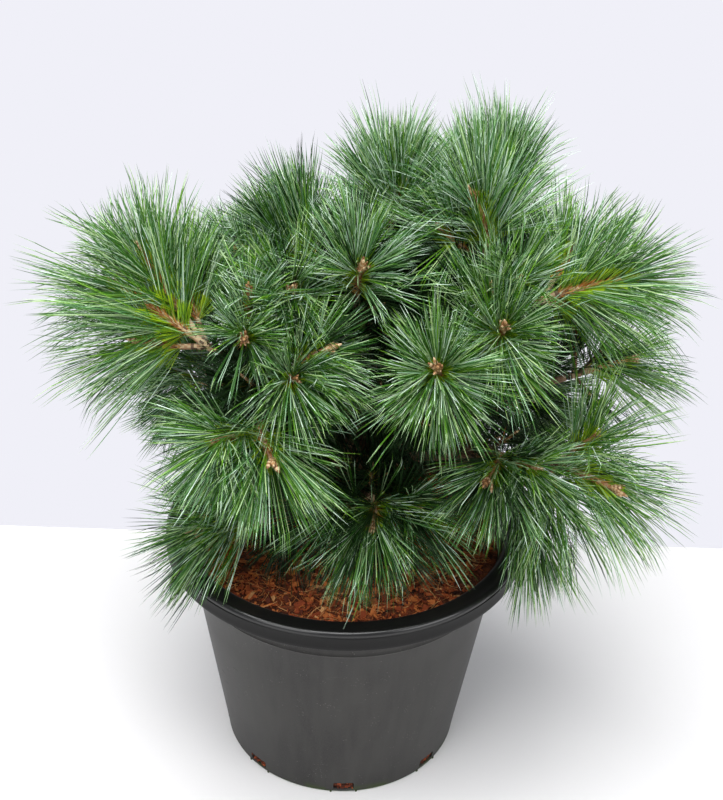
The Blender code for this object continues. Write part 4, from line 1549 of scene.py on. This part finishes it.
# %% Stems
STEM_RINGS = (22, 22, 9)
STEM_SIDES = (9, 8, 6)
STEM_AGES = (0.9, 3.0)
AGE_SPREAD = 0.7
TWIG_AGE = 1.4
CUSHION_SCALE = 480
CUSHION_SIZE = 0.30
STEM_COLOURS = {
    # Partly painted shade: the darkest colour, mostly on the twigs inside the crown.
    "stem_old_and_shaded": ((84, 64, 46), 0.9),
    "stem_grey": ((164, 144, 110), 0.85),
    "stem_brown": ((142, 110, 78), 0.8),
    "stem_orange": ((138, 94, 50), 0.75),
}


def plain_set(colours):
    """Plain materials from a table of colours and roughnesses."""
    return [plain(name, paint(*shade), roughness) for name, (shade, roughness) in colours.items()]


def stem_relief(point, share):
    return 1.0 + CUSHION_SIZE * noise.noise(point * CUSHION_SCALE)


def add_stems(finishes, dice):
    pile = Pile()
    youngest = len(finishes) - 1
    for shoot in shoots:
        sides = STEM_SIDES[shoot.rank]
        path, radii = shoot.sampled(shares_of(STEM_RINGS[shoot.rank]))
        parts = len(path) - 1
        ages = np.repeat(np.linspace(*STEM_AGES, parts), sides) + dice.normal(0, AGE_SPREAD, parts * sides)
        if shoot.rank == 2:
            ages -= TWIG_AGE
        slots = [0, *np.clip(ages.astype(int), 0, youngest), youngest]
        add_tube(pile, path, radii, sides, np.array([slots]), stem_relief)
    return pile.build("stems", finishes, True)


stand_in(add_stems(plain_set(STEM_COLOURS), np.random.default_rng(9)), NEEDLE_NODES)

# %% [markdown]
# ## Sheaths
# Each bundle sits in a short papery scale, tan, orange or still green, which gives the heart of a brush
# its warm colour. It is a small spike of four faces that points along the bundle.

# %% Sheaths
SHEATH_LENGTH = 0.0125
SHEATH_WIDTH = 0.0019
SHEATH_SIZES = (0.6, 1.3)
SHEATH_SUNK = 0.001
SHEATH_FACES = [(0, 2, 1), (0, 1, 3), (1, 2, 3), (2, 0, 3)]
SHEATH_COLOURS = {
    "sheath_tan": ((176, 132, 62), 0.75),
    "sheath_orange": ((150, 90, 22), 0.75),
    "sheath_green": ((130, 148, 40), 0.7),
}


def add_sheaths(finishes, dice):
    ways = np.array([bundle.way for bundle in bundles])
    roots = np.array([bundle.root for bundle in bundles]) - ways * SHEATH_SUNK
    side = unit(np.cross(ways, dice.normal(0, 1, ways.shape)))
    other = np.cross(ways, side)
    corners = []
    for angle in (0.0, math.tau / 3, -math.tau / 3):
        corners.append(roots + SHEATH_WIDTH / 2 * (math.cos(angle) * side + math.sin(angle) * other))
    lengths = SHEATH_LENGTH * dice.uniform(*SHEATH_SIZES, len(ways))
    points = np.stack([*corners, roots + ways * lengths[:, None]], axis=1)
    slots = dice.integers(0, len(finishes), len(ways))
    pile = Pile()
    pile.add(points, SHEATH_FACES, slots[:, None])
    return pile.build("sheaths", finishes, False)


stand_in(add_sheaths(plain_set(SHEATH_COLOURS), np.random.default_rng(7)), NEEDLE_NODES)

# %% [markdown]
# ## Buds
# Every shoot ends in a pointed winter bud, pale tan and a little resinous, with smaller ones crowded
# round it on all but the twigs. A bud is a slim egg whose rings step in and out like overlapping scales,
# and the scales alternate between two plain colours.

# %% Buds
BUD_RINGS = 8
BUD_SIDES = 7
BUD_LENGTH = 0.017
BUD_RADIUS = 0.0027
BUD_FROM, BUD_OVER = 0.16, 0.80
BUD_FULLNESS = 0.75
BUD_BY_RANK = (1.12, 0.9, 0.6)
BUD_SIZES = (0.85, 1.15)
BUD_WAY_FROM = 0.94
SMALL_BUDS = (9, 4, 0)
SMALL_BUD_SIZES = (0.45, 0.85)
SMALL_BUD_SPREAD = (6, 42)
SCALE_STEP = 0.86
BUD_SUNK = 0.002
SMALL_BUD_SUNK = 0.003
SMALL_BUD_OUT = 0.001
BUD_COLOURS = {
    "bud_cream": ((198, 170, 132), 0.5),
    "bud_tan": ((166, 124, 82), 0.5),
    "bud_brown": ((124, 84, 48), 0.55),
}
TONES = len(BUD_COLOURS)


def add_bud(pile, foot, way, size, tone):
    path, radii, slots = [], [], [tone]
    for ring, share in enumerate(shares_of(BUD_RINGS)):
        swell = math.sin(math.pi * (BUD_FROM + BUD_OVER * share)) ** BUD_FULLNESS
        path.append(foot + way * BUD_LENGTH * size * share)
        radii.append(BUD_RADIUS * size * swell * (1.0 if ring % 2 else SCALE_STEP))
    for ring in range(BUD_RINGS - 1):
        slots += [(tone + ring % 2) % TONES] * BUD_SIDES
    add_tube(pile, path, radii, BUD_SIDES, np.array([[*slots, tone]]))


def add_buds(finishes, dice):
    pile = Pile()
    for shoot in shoots:
        if shoot.limb == "inner":
            continue
        axis = (shoot.end - shoot.point(BUD_WAY_FROM)).normalized()
        size = BUD_BY_RANK[shoot.rank] * dice.uniform(*BUD_SIZES)
        add_bud(pile, shoot.end - axis * BUD_SUNK, axis, size, dice.randrange(TONES))
        around = SMALL_BUDS[shoot.rank]
        turn = dice.uniform(0, math.tau)
        for number in range(around):
            spread = math.radians(dice.uniform(*SMALL_BUD_SPREAD))
            way = leaning(axis, spread, turn + number * math.tau / around).normalized()
            foot = shoot.end - axis * SMALL_BUD_SUNK + way * SMALL_BUD_OUT
            add_bud(pile, foot, way, size * dice.uniform(*SMALL_BUD_SIZES), dice.randrange(TONES))
    return pile.build("buds", finishes, True)


stand_in(add_buds(plain_set(BUD_COLOURS), random.Random(31)), NEEDLE_NODES)

# %% [markdown]
# ## Finish
# The dressed plant has to stay the size of its solids, give or take the soft tips of the needles. The
# last cell brings the scene up to date and closes the script.

# %% Finish
bpy.context.view_layer.update()
